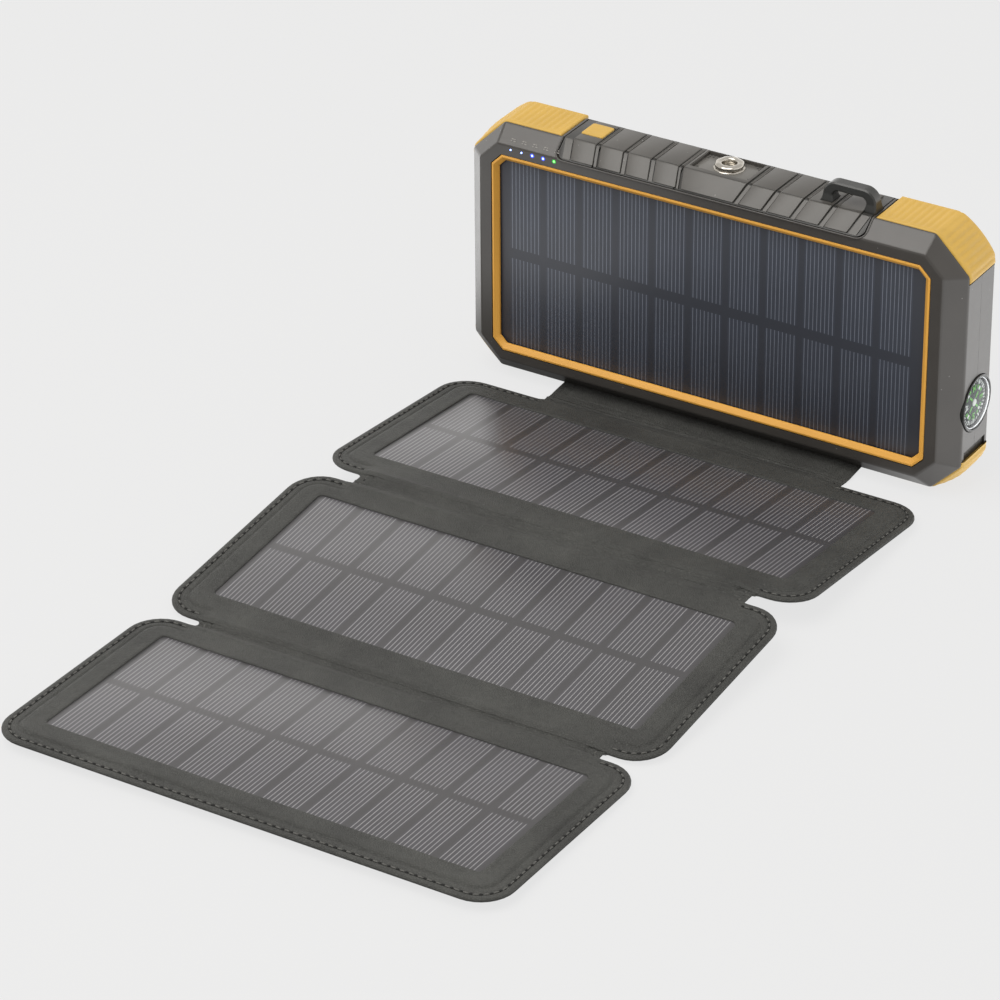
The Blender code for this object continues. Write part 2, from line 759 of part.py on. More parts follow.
def socket(word, x, shell, mouth, tongue):
    """A metal socket shell open at the top, and the contact tongue in it."""
    low = (x - shell[0] / 2, PORT_Y - shell[1] / 2, 0.0735)
    body = box(f"usb_{word}_shell", low, (x + shell[0] / 2, PORT_Y + shell[1] / 2, 0.0866), bank, STEEL)
    low = (x - mouth[0] / 2, PORT_Y - mouth[1] / 2, 0.0747)
    cut(body, box(f"usb_{word}_mouth", low, (x + mouth[0] / 2, PORT_Y + mouth[1] / 2, 0.09), bank))
    low = (x - tongue[0] / 2, PORT_Y + tongue[2], 0.075)
    high = (x + tongue[0] / 2, PORT_Y + tongue[2] + tongue[1], 0.0856)
    box(f"usb_{word}_tongue", low, high, bank, BLACK)


def build_inside():
    socket("a", PORT_A_X, (0.0132, 0.0057), (0.0125, 0.0051), (0.0112, 0.0017, 0.0004))
    socket("c", PORT_C_X, (0.009, 0.0032), (0.0084, 0.0026), (0.0066, 0.0007, -0.00035))
    box("circuit_board", (-0.052, 0.0096, 0.0605), (0.052, 0.0112, 0.0846), bank, BOARD_GREEN)
    for number, side in ((1, -1), (2, 1)):
        near, far = sorted((side * 0.0011, side * 0.0722))
        cell = box(f"battery_cell_{number}", (near, 0.0062, 0.0065), (far, 0.0206, 0.0575), bank, CELL_FOIL)
        soften(cell, 0.0018, 2)
    box("battery_pad", (-0.0705, 0.0211, 0.009), (0.0705, 0.026, 0.0555), bank, FOAM)


# ---------------------------------------------------------------- foot of the folio


def build_clamp():
    """The leather flap under the bank, and the plate and screws that hold it."""
    low = (-0.0545, BASE_AXIS[0] + 0.0014, HOUSING_LOW + 0.0006)
    flap = box("hinge_flap", low, (0.0545, 0.0134, HOUSING_LOW + 0.0013), bank, LEATHERETTE)
    low = (-0.053, BASE_AXIS[0] + 0.0026, 0.00035)
    bar = box("clamp_plate", low, (0.053, 0.0132, HOUSING_LOW + 0.0003), bank, TRIM)
    for number, x in ((1, -0.04), (2, 0.04)):
        hole = (x, 0.0106, 0)
        cut(flap, cylinder(f"flap_hole_{number}", 0.0011, hole, 0.0065, "Z", bank, sides=12))
        cut(bar, cylinder(f"bar_hole_{number}", 0.0011, hole, 0.0065, "Z", bank, sides=12))
        cut(bar, cylinder(f"bar_seat_{number}", 0.0021, hole, 0.0008, "Z", bank, sides=16))
        head = (x, 0.0106, 0.0001)
        screw = cylinder(f"clamp_screw_{number}", 0.0018, head, 0.0005, "Z", bank, STEEL, sides=16)
        join(screw, cylinder(f"clamp_shank_{number}", 0.0007, head, 0.0054, "Z", bank, sides=12))
    low = (-0.054, COVER_AXIS[0] + 0.0006 - BASE_AXIS[0], -0.0004)
    box("strip_a", low, (0.054, -0.0006, 0.0004), strip_a_axis, LEATHERETTE)


# ---------------------------------------------------------------- folio panels


def build_panel(number, axis, back, top):
    """One folio panel, lying from back towards -Y in its axis's frame with its face at z = top."""
    middle = -back - PANEL_LENGTH / 2
    window = -back - WINDOW_BACK - WINDOW_LENGTH / 2
    outline = rounded_rectangle(PANEL_WIDTH, PANEL_LENGTH, PANEL_CORNER, (0, middle))
    opening = rounded_rectangle(WINDOW_WIDTH, WINDOW_LENGTH, 0.0015, (0, window), 2)
    bed = (WINDOW_WIDTH + 0.0076, WINDOW_LENGTH + 0.0076)
    depth = PANEL_THICK - BACKING - LAYER_GAP
    lip = depth - BOARD - SOLAR - 2 * LAYER_GAP
    name = f"panel_{number}"
    centre = (0, 0, top - depth / 2)
    frame = plate(f"{name}_frame", [outline, opening], depth, "XY", centre, axis, LEATHERETTE)
    low = (-bed[0] / 2, window - bed[1] / 2, top - depth - 0.001)
    cut(frame, box(f"{name}_bed", low, (bed[0] / 2, window + bed[1] / 2, top - lip), axis))
    half_x, half_y = bed[0] / 2 - FIT, bed[1] / 2 - FIT
    low = (-half_x, window - half_y, top - depth)
    box(f"{name}_board", low, (half_x, window + half_y, top - depth + BOARD), axis, BOARD_GREY)
    low = (-half_x + 0.001, window - half_y + 0.001, top - lip - LAYER_GAP - SOLAR)
    high = (half_x - 0.001, window + half_y - 0.001, top - lip - LAYER_GAP)
    box(f"{name}_solar", low, high, axis, SILICON)
    centre = (0, 0, top - PANEL_THICK + BACKING / 2)
    plate(f"{name}_backing", [outline], BACKING, "XY", centre, axis, LEATHERETTE)


def build_folio():
    build_panel(1, panel_1_axis, COVER_REACH, 0)
    build_panel(2, panel_2_axis, 0, PANEL_THICK / 2)
    build_panel(3, panel_3_axis, FOLD_C_FAR, -FOLD_C_RISE)
    half = LEATHER / 2
    middle = -SPINE / 2
    low = (-0.069, middle - 0.0013, -half)
    spine = box("spine_strip", low, (0.069, middle + 0.0013, half), spine_axis, LEATHERETTE)
    low = (-STRAP_WIDTH / 2, middle - 0.0008, -0.002)
    join(spine, box("strap_root", low, (STRAP_WIDTH / 2, middle + 0.0011, 0), spine_axis))
    low = (-0.0693, -PANEL_LENGTH - 0.0023, -half)
    box("fold_strip", low, (0.0693, -PANEL_LENGTH - FIT, half), panel_2_axis, LEATHERETTE)


def build_strap():
    """The closing strap, sewn to panel 1's back and carried over the spine to the stud."""
    half = STRAP_WIDTH / 2
    under = -PANEL_THICK - 0.0002
    low = (-half - 0.003, -COVER_REACH - PANEL_LENGTH + 0.0012, under - LEATHER)
    high = (half + 0.003, -COVER_REACH - PANEL_LENGTH + 0.0172, under)
    box("strap_anchor", low, high, panel_1_axis, LEATHERETTE)
    thick = STRAP_THICK / 2
    end = STRAP_LENGTH - half
    outline = [(-half, -0.0005), (-half, -end)]
    for step in range(1, 8):
        angle = math.pi * step / 8
        outline.append((-half * math.cos(angle), -end - half * math.sin(angle)))
    outline += [(half, -end), (half, -0.0005)]
    strap = plate("closure_strap", [outline], STRAP_THICK, "XY", (0, 0, 0), strap_hinge, LEATHERETTE)
    rivet = (0, -SNAP_REACH, -0.003)
    cut(strap, cylinder("strap_hole", 0.0018, rivet, 0.006, "Z", strap_hinge))
    cap = [(0, -thick - 0.0017)]
    for step in range(1, 4):
        angle = math.radians(25 * step)
        cap.append((0.006 * math.sin(angle), -thick - 0.0006 - 0.0011 * math.cos(angle)))
    cap += [(0.006, -thick - 0.0006), (0.006, -thick - 0.0002), (0.0014, -thick - 0.0002)]
    cap += [(0.0014, thick - 0.0001), (0, thick - 0.0001)]
    place = (0, -SNAP_REACH, 0)
    turned("snap_cap", cap[::-1], place, "Z", strap_hinge, STEEL, 24)
    low = thick + 0.0002
    ring = [
        (0, low + 0.0005),
        (0.0022, low + 0.0005),
        (0.0024, low + 0.0016),
        (0.0046, low + 0.0016),
        (0.005, low + 0.0012),
        (0.0052, low),
        (0, low),
    ]
    turned("snap_socket", ring, place, "Z", strap_hinge, STEEL, 24)


build_housing()
build_ring_and_panel()
build_bumpers()
build_strip()
build_button()
build_stud()
build_loop()
build_compass()
build_inside()
build_clamp()
build_folio()
build_strap()
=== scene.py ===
"""Looks of the solar phone charger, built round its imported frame.

Lengths are in millimetres until a mesh is made. The bank stands upright with its front towards -Y,
and the folio lies in front of it.
"""

import json
import math

import bmesh
import bpy
from mathutils import Matrix, Vector, noise
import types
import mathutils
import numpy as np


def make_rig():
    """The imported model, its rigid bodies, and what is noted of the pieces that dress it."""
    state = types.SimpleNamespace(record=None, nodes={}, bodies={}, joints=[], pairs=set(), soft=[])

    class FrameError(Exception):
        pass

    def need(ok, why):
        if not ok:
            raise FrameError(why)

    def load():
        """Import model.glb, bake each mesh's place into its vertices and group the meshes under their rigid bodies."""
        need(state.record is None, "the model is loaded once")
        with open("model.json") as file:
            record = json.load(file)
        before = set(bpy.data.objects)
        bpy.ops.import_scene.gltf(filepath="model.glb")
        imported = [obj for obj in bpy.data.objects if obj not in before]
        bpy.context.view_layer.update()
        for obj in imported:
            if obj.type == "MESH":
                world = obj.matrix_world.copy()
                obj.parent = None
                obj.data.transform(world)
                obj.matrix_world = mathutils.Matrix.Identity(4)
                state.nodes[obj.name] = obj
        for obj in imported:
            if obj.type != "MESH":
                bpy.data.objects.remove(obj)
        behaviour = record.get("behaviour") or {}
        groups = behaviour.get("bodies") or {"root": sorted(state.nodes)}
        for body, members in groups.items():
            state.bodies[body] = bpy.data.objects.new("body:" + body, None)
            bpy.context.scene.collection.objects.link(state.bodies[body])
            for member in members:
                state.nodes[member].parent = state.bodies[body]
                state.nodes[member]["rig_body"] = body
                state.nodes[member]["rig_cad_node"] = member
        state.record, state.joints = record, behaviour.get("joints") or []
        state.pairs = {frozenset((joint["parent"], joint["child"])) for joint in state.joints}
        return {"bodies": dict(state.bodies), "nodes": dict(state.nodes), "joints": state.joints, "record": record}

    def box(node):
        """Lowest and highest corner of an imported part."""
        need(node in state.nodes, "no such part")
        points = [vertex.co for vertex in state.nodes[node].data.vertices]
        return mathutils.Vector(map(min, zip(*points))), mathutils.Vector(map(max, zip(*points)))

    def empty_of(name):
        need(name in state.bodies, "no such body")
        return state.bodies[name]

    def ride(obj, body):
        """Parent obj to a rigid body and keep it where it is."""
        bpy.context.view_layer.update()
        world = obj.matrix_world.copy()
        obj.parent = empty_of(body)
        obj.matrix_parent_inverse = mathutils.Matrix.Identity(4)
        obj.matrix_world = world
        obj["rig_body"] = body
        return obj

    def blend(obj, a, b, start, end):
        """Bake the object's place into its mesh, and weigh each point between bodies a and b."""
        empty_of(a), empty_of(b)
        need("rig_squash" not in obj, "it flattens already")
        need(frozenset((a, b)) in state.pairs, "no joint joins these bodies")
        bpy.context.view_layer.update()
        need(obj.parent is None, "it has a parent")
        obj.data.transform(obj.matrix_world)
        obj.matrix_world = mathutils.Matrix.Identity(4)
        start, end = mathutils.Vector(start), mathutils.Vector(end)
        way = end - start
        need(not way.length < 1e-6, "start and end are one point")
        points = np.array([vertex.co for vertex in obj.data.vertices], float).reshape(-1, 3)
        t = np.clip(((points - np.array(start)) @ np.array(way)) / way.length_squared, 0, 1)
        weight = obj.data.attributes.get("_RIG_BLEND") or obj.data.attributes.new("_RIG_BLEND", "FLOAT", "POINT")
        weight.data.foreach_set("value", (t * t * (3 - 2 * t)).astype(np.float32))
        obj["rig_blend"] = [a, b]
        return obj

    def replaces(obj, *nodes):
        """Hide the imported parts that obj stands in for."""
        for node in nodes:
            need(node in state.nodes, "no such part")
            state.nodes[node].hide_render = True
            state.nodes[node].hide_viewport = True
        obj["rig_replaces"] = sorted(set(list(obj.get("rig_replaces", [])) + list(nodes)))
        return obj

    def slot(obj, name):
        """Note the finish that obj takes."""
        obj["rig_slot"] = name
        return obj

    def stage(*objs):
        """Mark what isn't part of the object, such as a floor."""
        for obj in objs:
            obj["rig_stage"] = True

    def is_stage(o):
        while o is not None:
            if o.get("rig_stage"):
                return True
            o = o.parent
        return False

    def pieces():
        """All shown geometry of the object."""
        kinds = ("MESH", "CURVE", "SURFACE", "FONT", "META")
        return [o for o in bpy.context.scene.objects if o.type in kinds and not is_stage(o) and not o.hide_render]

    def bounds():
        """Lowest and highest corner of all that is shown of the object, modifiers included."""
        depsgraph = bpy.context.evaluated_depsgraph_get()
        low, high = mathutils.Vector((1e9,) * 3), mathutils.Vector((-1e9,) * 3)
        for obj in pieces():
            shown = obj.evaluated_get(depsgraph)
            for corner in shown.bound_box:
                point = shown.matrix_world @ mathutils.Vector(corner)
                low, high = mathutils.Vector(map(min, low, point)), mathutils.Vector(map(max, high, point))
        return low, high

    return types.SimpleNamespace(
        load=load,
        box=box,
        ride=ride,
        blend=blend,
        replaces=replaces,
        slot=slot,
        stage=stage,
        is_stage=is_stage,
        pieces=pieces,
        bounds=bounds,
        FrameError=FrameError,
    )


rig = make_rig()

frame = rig.load()
cad_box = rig.bounds()

MM = 0.001
JOINTS = {j["name"]: j for j in frame["joints"]}
BANK_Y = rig.box("front_shell")[0].y / MM  # the bank's front face
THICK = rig.box("rear_shell")[1].y / MM - BANK_Y
MIDDLE = THICK / 2
# the pitch of panels 1 and 2, which lean on each other, and of panel 3
RIDGE = math.radians(90 - JOINTS["cover_fold"]["range_deg"][1])
LAST = math.radians(180 - JOINTS["last_fold"]["range_deg"][1]) - RIDGE


def joint_yz(name):
    _, y, z = JOINTS[name]["pos_m"]
    return y / MM, z / MM


# ---------------------------------------------------------------- materials


class Look:
    """A material and short ways to add nodes to it."""

    def __init__(self, name, colour, roughness, metallic=0.0, **sockets):
        self.material = bpy.data.materials.new(name)
        self.material.use_nodes = True
        self.tree = self.material.node_tree
        self.shader = self.tree.nodes["Principled BSDF"]
        self.set("Base Color", (*colour, 1))
        self.set("Roughness", roughness)
        self.set("Metallic", metallic)
        for socket, value in sockets.items():
            self.set(socket.replace("_", " "), value)
        self._place = None

    def set(self, socket, value):
        self.shader.inputs[socket].default_value = value

    def link(self, output, socket):
        self.tree.links.new(output, self.shader.inputs[socket])

    def node(self, kind, inputs=(), **settings):
        made = self.tree.nodes.new(kind)
        for key, value in settings.items():
            setattr(made, key, value)
        for key, value in dict(inputs).items():
            if hasattr(value, "is_output"):
                self.tree.links.new(value, made.inputs[key])
            else:
                made.inputs[key].default_value = value
        return made

    def place(self):
        """Object coordinates, which are the row frame's metres at rest."""
        if self._place is None:
            self._place = self.node("ShaderNodeTexCoord").outputs["Object"]
        return self._place

    def scaled(self, x, y, z):
        return self.node("ShaderNodeMapping", {"Vector": self.place(), "Scale": (x, y, z)}).outputs[0]

    def math(self, operation, a, b=0.0, c=0.0):
        return self.node("ShaderNodeMath", {0: a, 1: b, 2: c}, operation=operation).outputs[0]

    def fade(self, value, start, end, before, after):
        """Runs from before to after while the value goes from start to end."""
        inputs = {0: value, 1: start, 2: end, 3: before, 4: after}
        return self.node("ShaderNodeMapRange", inputs).outputs[0]

    def noise(self, scale, detail=3.0, roughness=0.5, vector=None):
        inputs = {"Scale": scale, "Detail": detail, "Roughness": roughness}
        inputs["Vector"] = vector or self.place()
        return self.node("ShaderNodeTexNoise", inputs).outputs["Fac"]

    def ramp(self, value, stops):
        made = self.node("ShaderNodeValToRGB", {"Fac": value})
        while len(made.color_ramp.elements) < len(stops):
            made.color_ramp.elements.new(0.5)
        for element, (at, colour) in zip(made.color_ramp.elements, stops):
            element.position = at
            element.color = (*(colour if hasattr(colour, "__len__") else (colour,) * 3), 1)
        return made.outputs["Color"]

    def mix(self, factor, a, b):
        made = self.node("ShaderNodeMix", {0: factor}, data_type="RGBA")
        for index, value in ((6, a), (7, b)):
            if hasattr(value, "is_output"):
                self.tree.links.new(value, made.inputs[index])
            else:
                made.inputs[index].default_value = (*value, 1)
        return made.outputs[2]

    def bump(self, height, strength, distance_mm, normal=None):
        inputs = {"Height": height, "Strength": strength, "Distance": distance_mm * MM}
        if normal is not None:
            inputs["Normal"] = normal
        made = self.node("ShaderNodeBump", inputs)
        self.link(made.outputs[0], "Normal")
        return made.outputs[0]


def shaded(colour, factor):
    return tuple(min(1, c * factor) for c in colour)


def moulded(name, colour, roughness, grain=0.5, mottling=0.12, dust=0.0, **sockets):
    """Moulded plastic or rubber: spark-eroded grain, faint mottling, uneven gloss, a little dust."""
    look = Look(name, colour, roughness, **sockets)
    cloud = look.noise(70, 4, 0.6)
    ends = [(0.3, shaded(colour, 1 - mottling)), (0.7, shaded(colour, 1 + mottling))]
    tone = look.ramp(cloud, ends)
    if dust:
        inputs = {"Vector": look.place(), "Scale": 210.0}
        specks = look.node("ShaderNodeTexVoronoi", inputs).outputs["Distance"]
        share = look.math("MULTIPLY", look.math("LESS_THAN", specks, 0.038), dust)
        tone = look.mix(share, tone, (0.45, 0.44, 0.42))
    look.link(tone, "Base Color")
    fine = look.noise(5200, 2, 0.6)
    rubbed = look.noise(240, 5, 0.7)
    spread = look.math("MULTIPLY_ADD", rubbed, 0.1, roughness - 0.07)
    look.link(look.math("MULTIPLY_ADD", fine, 0.04, spread), "Roughness")
    look.bump(fine, grain, 0.02)
    return look.material


def leather(name, colour):
    """Leatherette: pebbles about half a millimetre across, soft creases, and a tone lighter in the pebbles' middles
    than in the seams between them.
    """
    look = Look(name, colour, 0.6, Sheen_Weight=0.05, Sheen_Roughness=0.5, Specular_IOR_Level=0.3)
    bent = look.noise(700, 2)
    warp = look.node("ShaderNodeVectorMath", {0: look.place(), 1: (0, 0, 0)}, operation="ADD")
    push = look.node("ShaderNodeCombineXYZ", {0: bent, 1: bent, 2: bent}).outputs[0]
    shift = look.node("ShaderNodeVectorMath", {0: push, "Scale": 0.0004}, operation="SCALE").outputs[0]
    look.tree.links.new(shift, warp.inputs[1])
    inputs = {"Vector": warp.outputs[0], "Scale": 1500.0}
    cells = look.node("ShaderNodeTexVoronoi", inputs, feature="DISTANCE_TO_EDGE").outputs["Distance"]
    pebble = look.ramp(cells, [(0.0, 0.0), (0.16, 0.75), (0.5, 1.0)])
    fine = look.noise(3800, 3, 0.6)
    crease = look.noise(120, 5, 0.65, look.scaled(0.35, 1, 1))
    grain = look.math("MULTIPLY_ADD", fine, 0.35, pebble)
    first = look.bump(crease, 0.35, 0.6)
    look.bump(grain, 0.9, 0.12, first)
    cloud = look.noise(45, 4, 0.6)
    patch = look.noise(650, 4, 0.8)
    # the tone: cloudy blotches, and the pebbles lighter in their middles than at their seams
    pebble_tone = look.math("MULTIPLY_ADD", cloud, 0.6, look.math("MULTIPLY", pebble, 0.2))
    pebble_tone = look.math("MULTIPLY_ADD", patch, 0.4, pebble_tone)
    ends = [(0.46, shaded(colour, 0.55)), (0.8, shaded(colour, 1.35))]
    look.link(look.ramp(pebble_tone, ends), "Base Color")
    look.link(look.math("MULTIPLY_ADD", cloud, 0.16, 0.5), "Roughness")
    return look.material


def solar(name, columns, fingers, base, line, glow, rough, coat):
    """Silicon under clear laminate: two rows of cells with fine fingers along V.

    The UVs run from 0 to 1 over the cells' area.
    """
    look = Look(name, base, rough, Specular_IOR_Level=0.5, Coat_Weight=coat, Coat_Roughness=rough)
    uv = look.node("ShaderNodeUVMap", uv_map="cells").outputs[0]
    split = look.node("ShaderNodeSeparateXYZ", {0: uv})
    u, v = split.outputs[0], split.outputs[1]
    margin = 0.8  # from a column's edge to its first finger, in finger pitches

    def both(a, b):
        return look.math("MULTIPLY", a, b)

    def off_middle(value, operation, limit):
        away = look.math("ABSOLUTE", look.math("SUBTRACT", value, 0.5))
        return look.math(operation, away, limit)

    column = look.math("FRACT", look.math("MULTIPLY", u, float(columns)))
    phase = look.math("MULTIPLY_ADD", column, fingers + 2 * margin, -margin)
    wire = off_middle(look.math("FRACT", phase), "LESS_THAN", 0.095)
    after = look.math("GREATER_THAN", phase, 0.0)
    inside = both(after, look.math("LESS_THAN", phase, float(fingers)))
    rows = off_middle(v, "GREATER_THAN", 0.026)
    edges = off_middle(v, "LESS_THAN", 0.497)
    within = off_middle(u, "LESS_THAN", 0.5)
    silver = both(both(both(wire, inside), both(rows, edges)), within)
    cell = both(both(inside, rows), within)
    cloud = look.noise(70, 3, 0.6)
    silicon = look.mix(cloud, shaded(base, 0.8), glow)
    ground = look.mix(cell, shaded(base, 0.85), silicon)
    flicker = look.math("MULTIPLY_ADD", look.noise(900, 2), 0.35, 0.7)
    look.link(look.mix(both(silver, flicker), ground, line), "Base Color")
    ripple = look.noise(38, 2, 0.4)
    speck = look.noise(2600, 2)
    first = look.bump(ripple, 0.03, 0.12)
    look.bump(look.math("MULTIPLY_ADD", speck, 0.4, silver), 0.08, 0.02, first)
    look.link(look.math("MULTIPLY_ADD", speck, 0.06, rough - 0.03), "Roughness")
    return look.material


def plated(name, colour, roughness):
    """Nickel-plated metal with faint streaks."""
    look = Look(name, colour, roughness, 1.0)
    streak = look.noise(350, 5, 0.7)
    fine = look.noise(4200, 2)
    look.link(look.math("MULTIPLY_ADD", streak, 0.18, roughness - 0.06), "Roughness")
    look.link(look.ramp(streak, [(0.3, shaded(colour, 0.82)), (0.7, colour)]), "Base Color")
    look.bump(fine, 0.12, 0.02)
    return look.material


def speckled(name, low, high, scale, roughness, bump=0.3):
    """A plain material with visible grain, for thread, foam, foil and the like."""
    look = Look(name, high, roughness)
    grain = look.noise(scale, 5, 0.7)
    look.link(look.ramp(grain, [(0.35, low), (0.65, high)]), "Base Color")
    look.bump(grain, bump, 0.1)
    return look.material


def clear(name):
    """Thin clear plastic with a slight haze."""
    look = Look(name, (0.84, 0.86, 0.88), 0.03, Transmission_Weight=1.0, IOR=1.12)
    haze = look.noise(400, 3)
    look.link(look.math("MULTIPLY_ADD", haze, 0.05, 0.01), "Roughness")
    return look.material


def lamp(name, colour, strength):
    """A glowing lens."""
    look = Look(name, colour, 0.3, Emission_Strength=strength)
    look.set("Emission Color", (*colour, 1))
    cloud = look.noise(1500, 2)
    look.link(look.ramp(cloud, [(0.3, shaded(colour, 0.9)), (0.7, colour)]), "Base Color")
    return look.material


HOUSING = moulded("housing", (0.046, 0.042, 0.038), 0.3, 0.25, 0.08, 0.35)
TRIM = moulded("trim", (0.055, 0.051, 0.045), 0.32, 0.3, 0.1, 0.35)
# a darker copy of the trim that paints shade: in the gaps between the strip's blocks and ribs, along the block crests
# and at the back of the foot slots. The plate's small corner studs take it too
SHADE_AND_DARK_TRIM = moulded("groove", (0.024, 0.023, 0.021), 0.4, 0.4, 0.1)
AMBER = moulded("amber", (0.485, 0.3, 0.053), 0.55, 0.5, 0.05)
RING = moulded("ring", (0.63, 0.318, 0.052), 0.5, 0.3, 0.04, Specular_IOR_Level=0.35)
BLACK = moulded("black", (0.014, 0.0145, 0.0135), 0.26, 0.3, 0.1, 0.3)
LOOP = moulded("loop", (0.021, 0.0215, 0.02), 0.34, 0.3, 0.1, 0.2)
LEATHER = leather("leatherette", (0.039, 0.0395, 0.036))
LEATHER_BACK = leather("leatherette_back", (0.028, 0.028, 0.026))
THREAD = speckled("thread", (0.04, 0.04, 0.037), (0.1, 0.098, 0.09), 2500, 0.75)
# nearly black discs at the needle holes: painted shade for the holes
HOLE_SHADE = speckled("needle_hole", (0.003, 0.003, 0.003), (0.009, 0.009, 0.008), 2500, 0.9)
STEEL = plated("plating", (0.52, 0.49, 0.44), 0.2)
PLATE = moulded("stud_plate", (0.11, 0.105, 0.096), 0.34, 0.3, 0.12)
SCREW = plated("screw_plating", (0.32, 0.32, 0.31), 0.35)
BANK_CELLS = solar(
    "bank_cells", 11, 8, (0.034, 0.038, 0.05), (0.135, 0.15, 0.185), (0.04, 0.047, 0.066), 0.4, 0.06
)
FOLIO_CELLS = solar(
    "folio_cells", 10, 9, (0.055, 0.053, 0.055), (0.25, 0.245, 0.25), (0.06, 0.058, 0.067), 0.33, 0.1
)
CLEAR = clear("clear")
WHITE_LAMP = lamp("white_lamp", (0.24, 0.36, 1.0), 4.5)
BLUE_GLOW = lamp("blue_glow", (0.035, 0.06, 0.6), 0.7)
GREEN_GLOW = lamp("green_glow", (0.02, 0.22, 0.03), 0.6)
GREEN_LAMP = lamp("green_lamp", (0.16, 1.0, 0.14), 3.0)
MARK = moulded("pale_mark", (0.2, 0.19, 0.175), 0.5, 0.3, 0.05)
DIAL_BLACK = moulded("dial_black", (0.035, 0.04, 0.035), 0.5, 0.2, 0.1)
DIAL_WHITE = moulded("dial_white", (0.85, 0.85, 0.8), 0.5, 0.2, 0.03)
DIAL_GREEN = moulded("dial_green", (0.2, 0.62, 0.1), 0.5, 0.2, 0.08)
FOAM = speckled("foam", (0.03, 0.03, 0.03), (0.07, 0.07, 0.07), 1800, 0.95, 0.8)
FOIL = speckled("foil", (0.3, 0.32, 0.34), (0.5, 0.52, 0.54), 300, 0.35)
PCB = speckled("pcb", (0.01, 0.1, 0.04), (0.02, 0.17, 0.07), 500, 0.4)

# ---------------------------------------------------------------- meshes


def smoothed(mesh, degrees):
    """Shades a mesh smooth wherever its edges are below an angle."""
    mesh.shade_smooth()
    mesh.set_sharp_from_angle(angle=math.radians(degrees))


def make(name, points, faces, material, smooth=40):
    """An object from points in millimetres, shaded smooth below an angle, or flat at 0."""
    mesh = bpy.data.meshes.new(name)
    mesh.from_pydata([tuple(c * MM for c in p) for p in points], [], faces)
    shape = bmesh.new()
    shape.from_mesh(mesh)
    bmesh.ops.recalc_face_normals(shape, faces=shape.faces[:])
    shape.to_mesh(mesh)
    shape.free()
    made = bpy.data.objects.new(name, mesh)
    bpy.context.scene.collection.objects.link(made)
    mesh.materials.append(material)
    if smooth:
        smoothed(mesh, smooth)
    return made


def skin(rings, closed=False):
    """(points, faces) of a skin over rings of equal length, capped unless closed into a loop."""
    count = len(rings[0])
    points = [p for ring in rings for p in ring]
    faces = []
    last = len(rings) if closed else len(rings) - 1
    for r in range(last):
        near, far = r * count, (r + 1) % len(rings) * count
        for i in range(count):
            j = (i + 1) % count
            faces.append((near + i, near + j, far + j, far + i))
    if not closed:
        faces.append(tuple(range(count)))
        faces.append(tuple(range(len(points) - count, len(points))))
    return points, faces


def slab(top, bottom):
    """(points, faces) of the closed body between two grids of points of the same size."""
    rows, cols = len(top), len(top[0])
    points = [p for row in top for p in row] + [p for row in bottom for p in row]
    under = rows * cols
    faces = []
    for r in range(rows - 1):
        for c in range(cols - 1):
            a = r * cols + c
            faces.append((a, a + 1, a + cols + 1, a + cols))
            faces.append((under + a, under + a + cols, under + a + cols + 1, under + a + 1))
    rim = list(range(cols))
    rim += [r * cols + cols - 1 for r in range(1, rows)]
    rim += [(rows - 1) * cols + c for c in range(cols - 2, -1, -1)]
    rim += [r * cols for r in range(rows - 2, 0, -1)]
    for a, b in zip(rim, rim[1:] + rim[:1]):
        faces.append((a, b, under + b, under + a))
    return points, faces


def merge(parts):
    """(points, faces) of several bodies in one mesh."""
    points, faces = [], []
    for more_points, more_faces in parts:
        start = len(points)
        points += more_points
        faces += [tuple(i + start for i in face) for face in more_faces]
    return points, faces


def brick(low, high):
    """(points, faces) of a box on the bank. Its y is measured back from the bank's front face."""
    near, far = BANK_Y + low[1], BANK_Y + high[1]
    rings = []
    for z in (low[2], high[2]):
        rings.append([(low[0], near, z), (high[0], near, z), (high[0], far, z), (low[0], far, z)])
    return skin(rings)


def turn(profile, centre, axis, steps=48, hollow=False):
    """(points, faces) of a profile of (radius, height) turned about an axis.

    A hollow one closes on itself, and any other is capped at both ends.
    """
    along = Vector(axis).normalized()
    side = along.orthogonal().normalized()
    other = along.cross(side)
    centre = Vector(centre)
    rings = []
    for radius, height in profile:
        ring = []
        for step in range(steps):
            angle = 2 * math.pi * step / steps
            out = side * math.cos(angle) + other * math.sin(angle)
            ring.append(tuple(centre + along * height + out * max(radius, 0.001)))
        rings.append(ring)
    return skin(rings, hollow)


def settle(obj, smooth):
    """Applies an object's modifiers to its mesh, and shades it."""
    graph = bpy.context.evaluated_depsgraph_get()
    mesh = bpy.data.meshes.new_from_object(obj.evaluated_get(graph))
    obj.modifiers.clear()
    obj.data = mesh
    smoothed(mesh, smooth)


def rounded(obj, width, segments=3, angle=25, smooth=35):
    """Rounds an object's edges by a width in millimetres."""
    step = obj.modifiers.new("round", "BEVEL")
    step.width = width * MM
    step.segments = segments
    step.limit_method = "ANGLE"
    step.angle_limit = math.radians(angle)
    settle(obj, smooth)


def carve(obj, tools, smooth=35):
    """Cuts bodies out of an object."""
    cutters = []
    for points, faces in tools:
        cutter = make("cutter", points, faces, SHADE_AND_DARK_TRIM, 0)
        step = obj.modifiers.new("cut", "BOOLEAN")
        step.operation = "DIFFERENCE"
        step.solver = "EXACT"
        step.object = cutter
        cutters.append(cutter)
    settle(obj, smooth)
    for cutter in cutters:
        bpy.data.objects.remove(cutter)


def settled_piece(obj, body, slot, *nodes):
    """Puts a piece on a body, in a slot, in place of the frame's nodes."""
    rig.ride(obj, body)
    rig.slot(obj, slot)
    if nodes:
        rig.replaces(obj, *nodes)


# ---------------------------------------------------------------- outlines


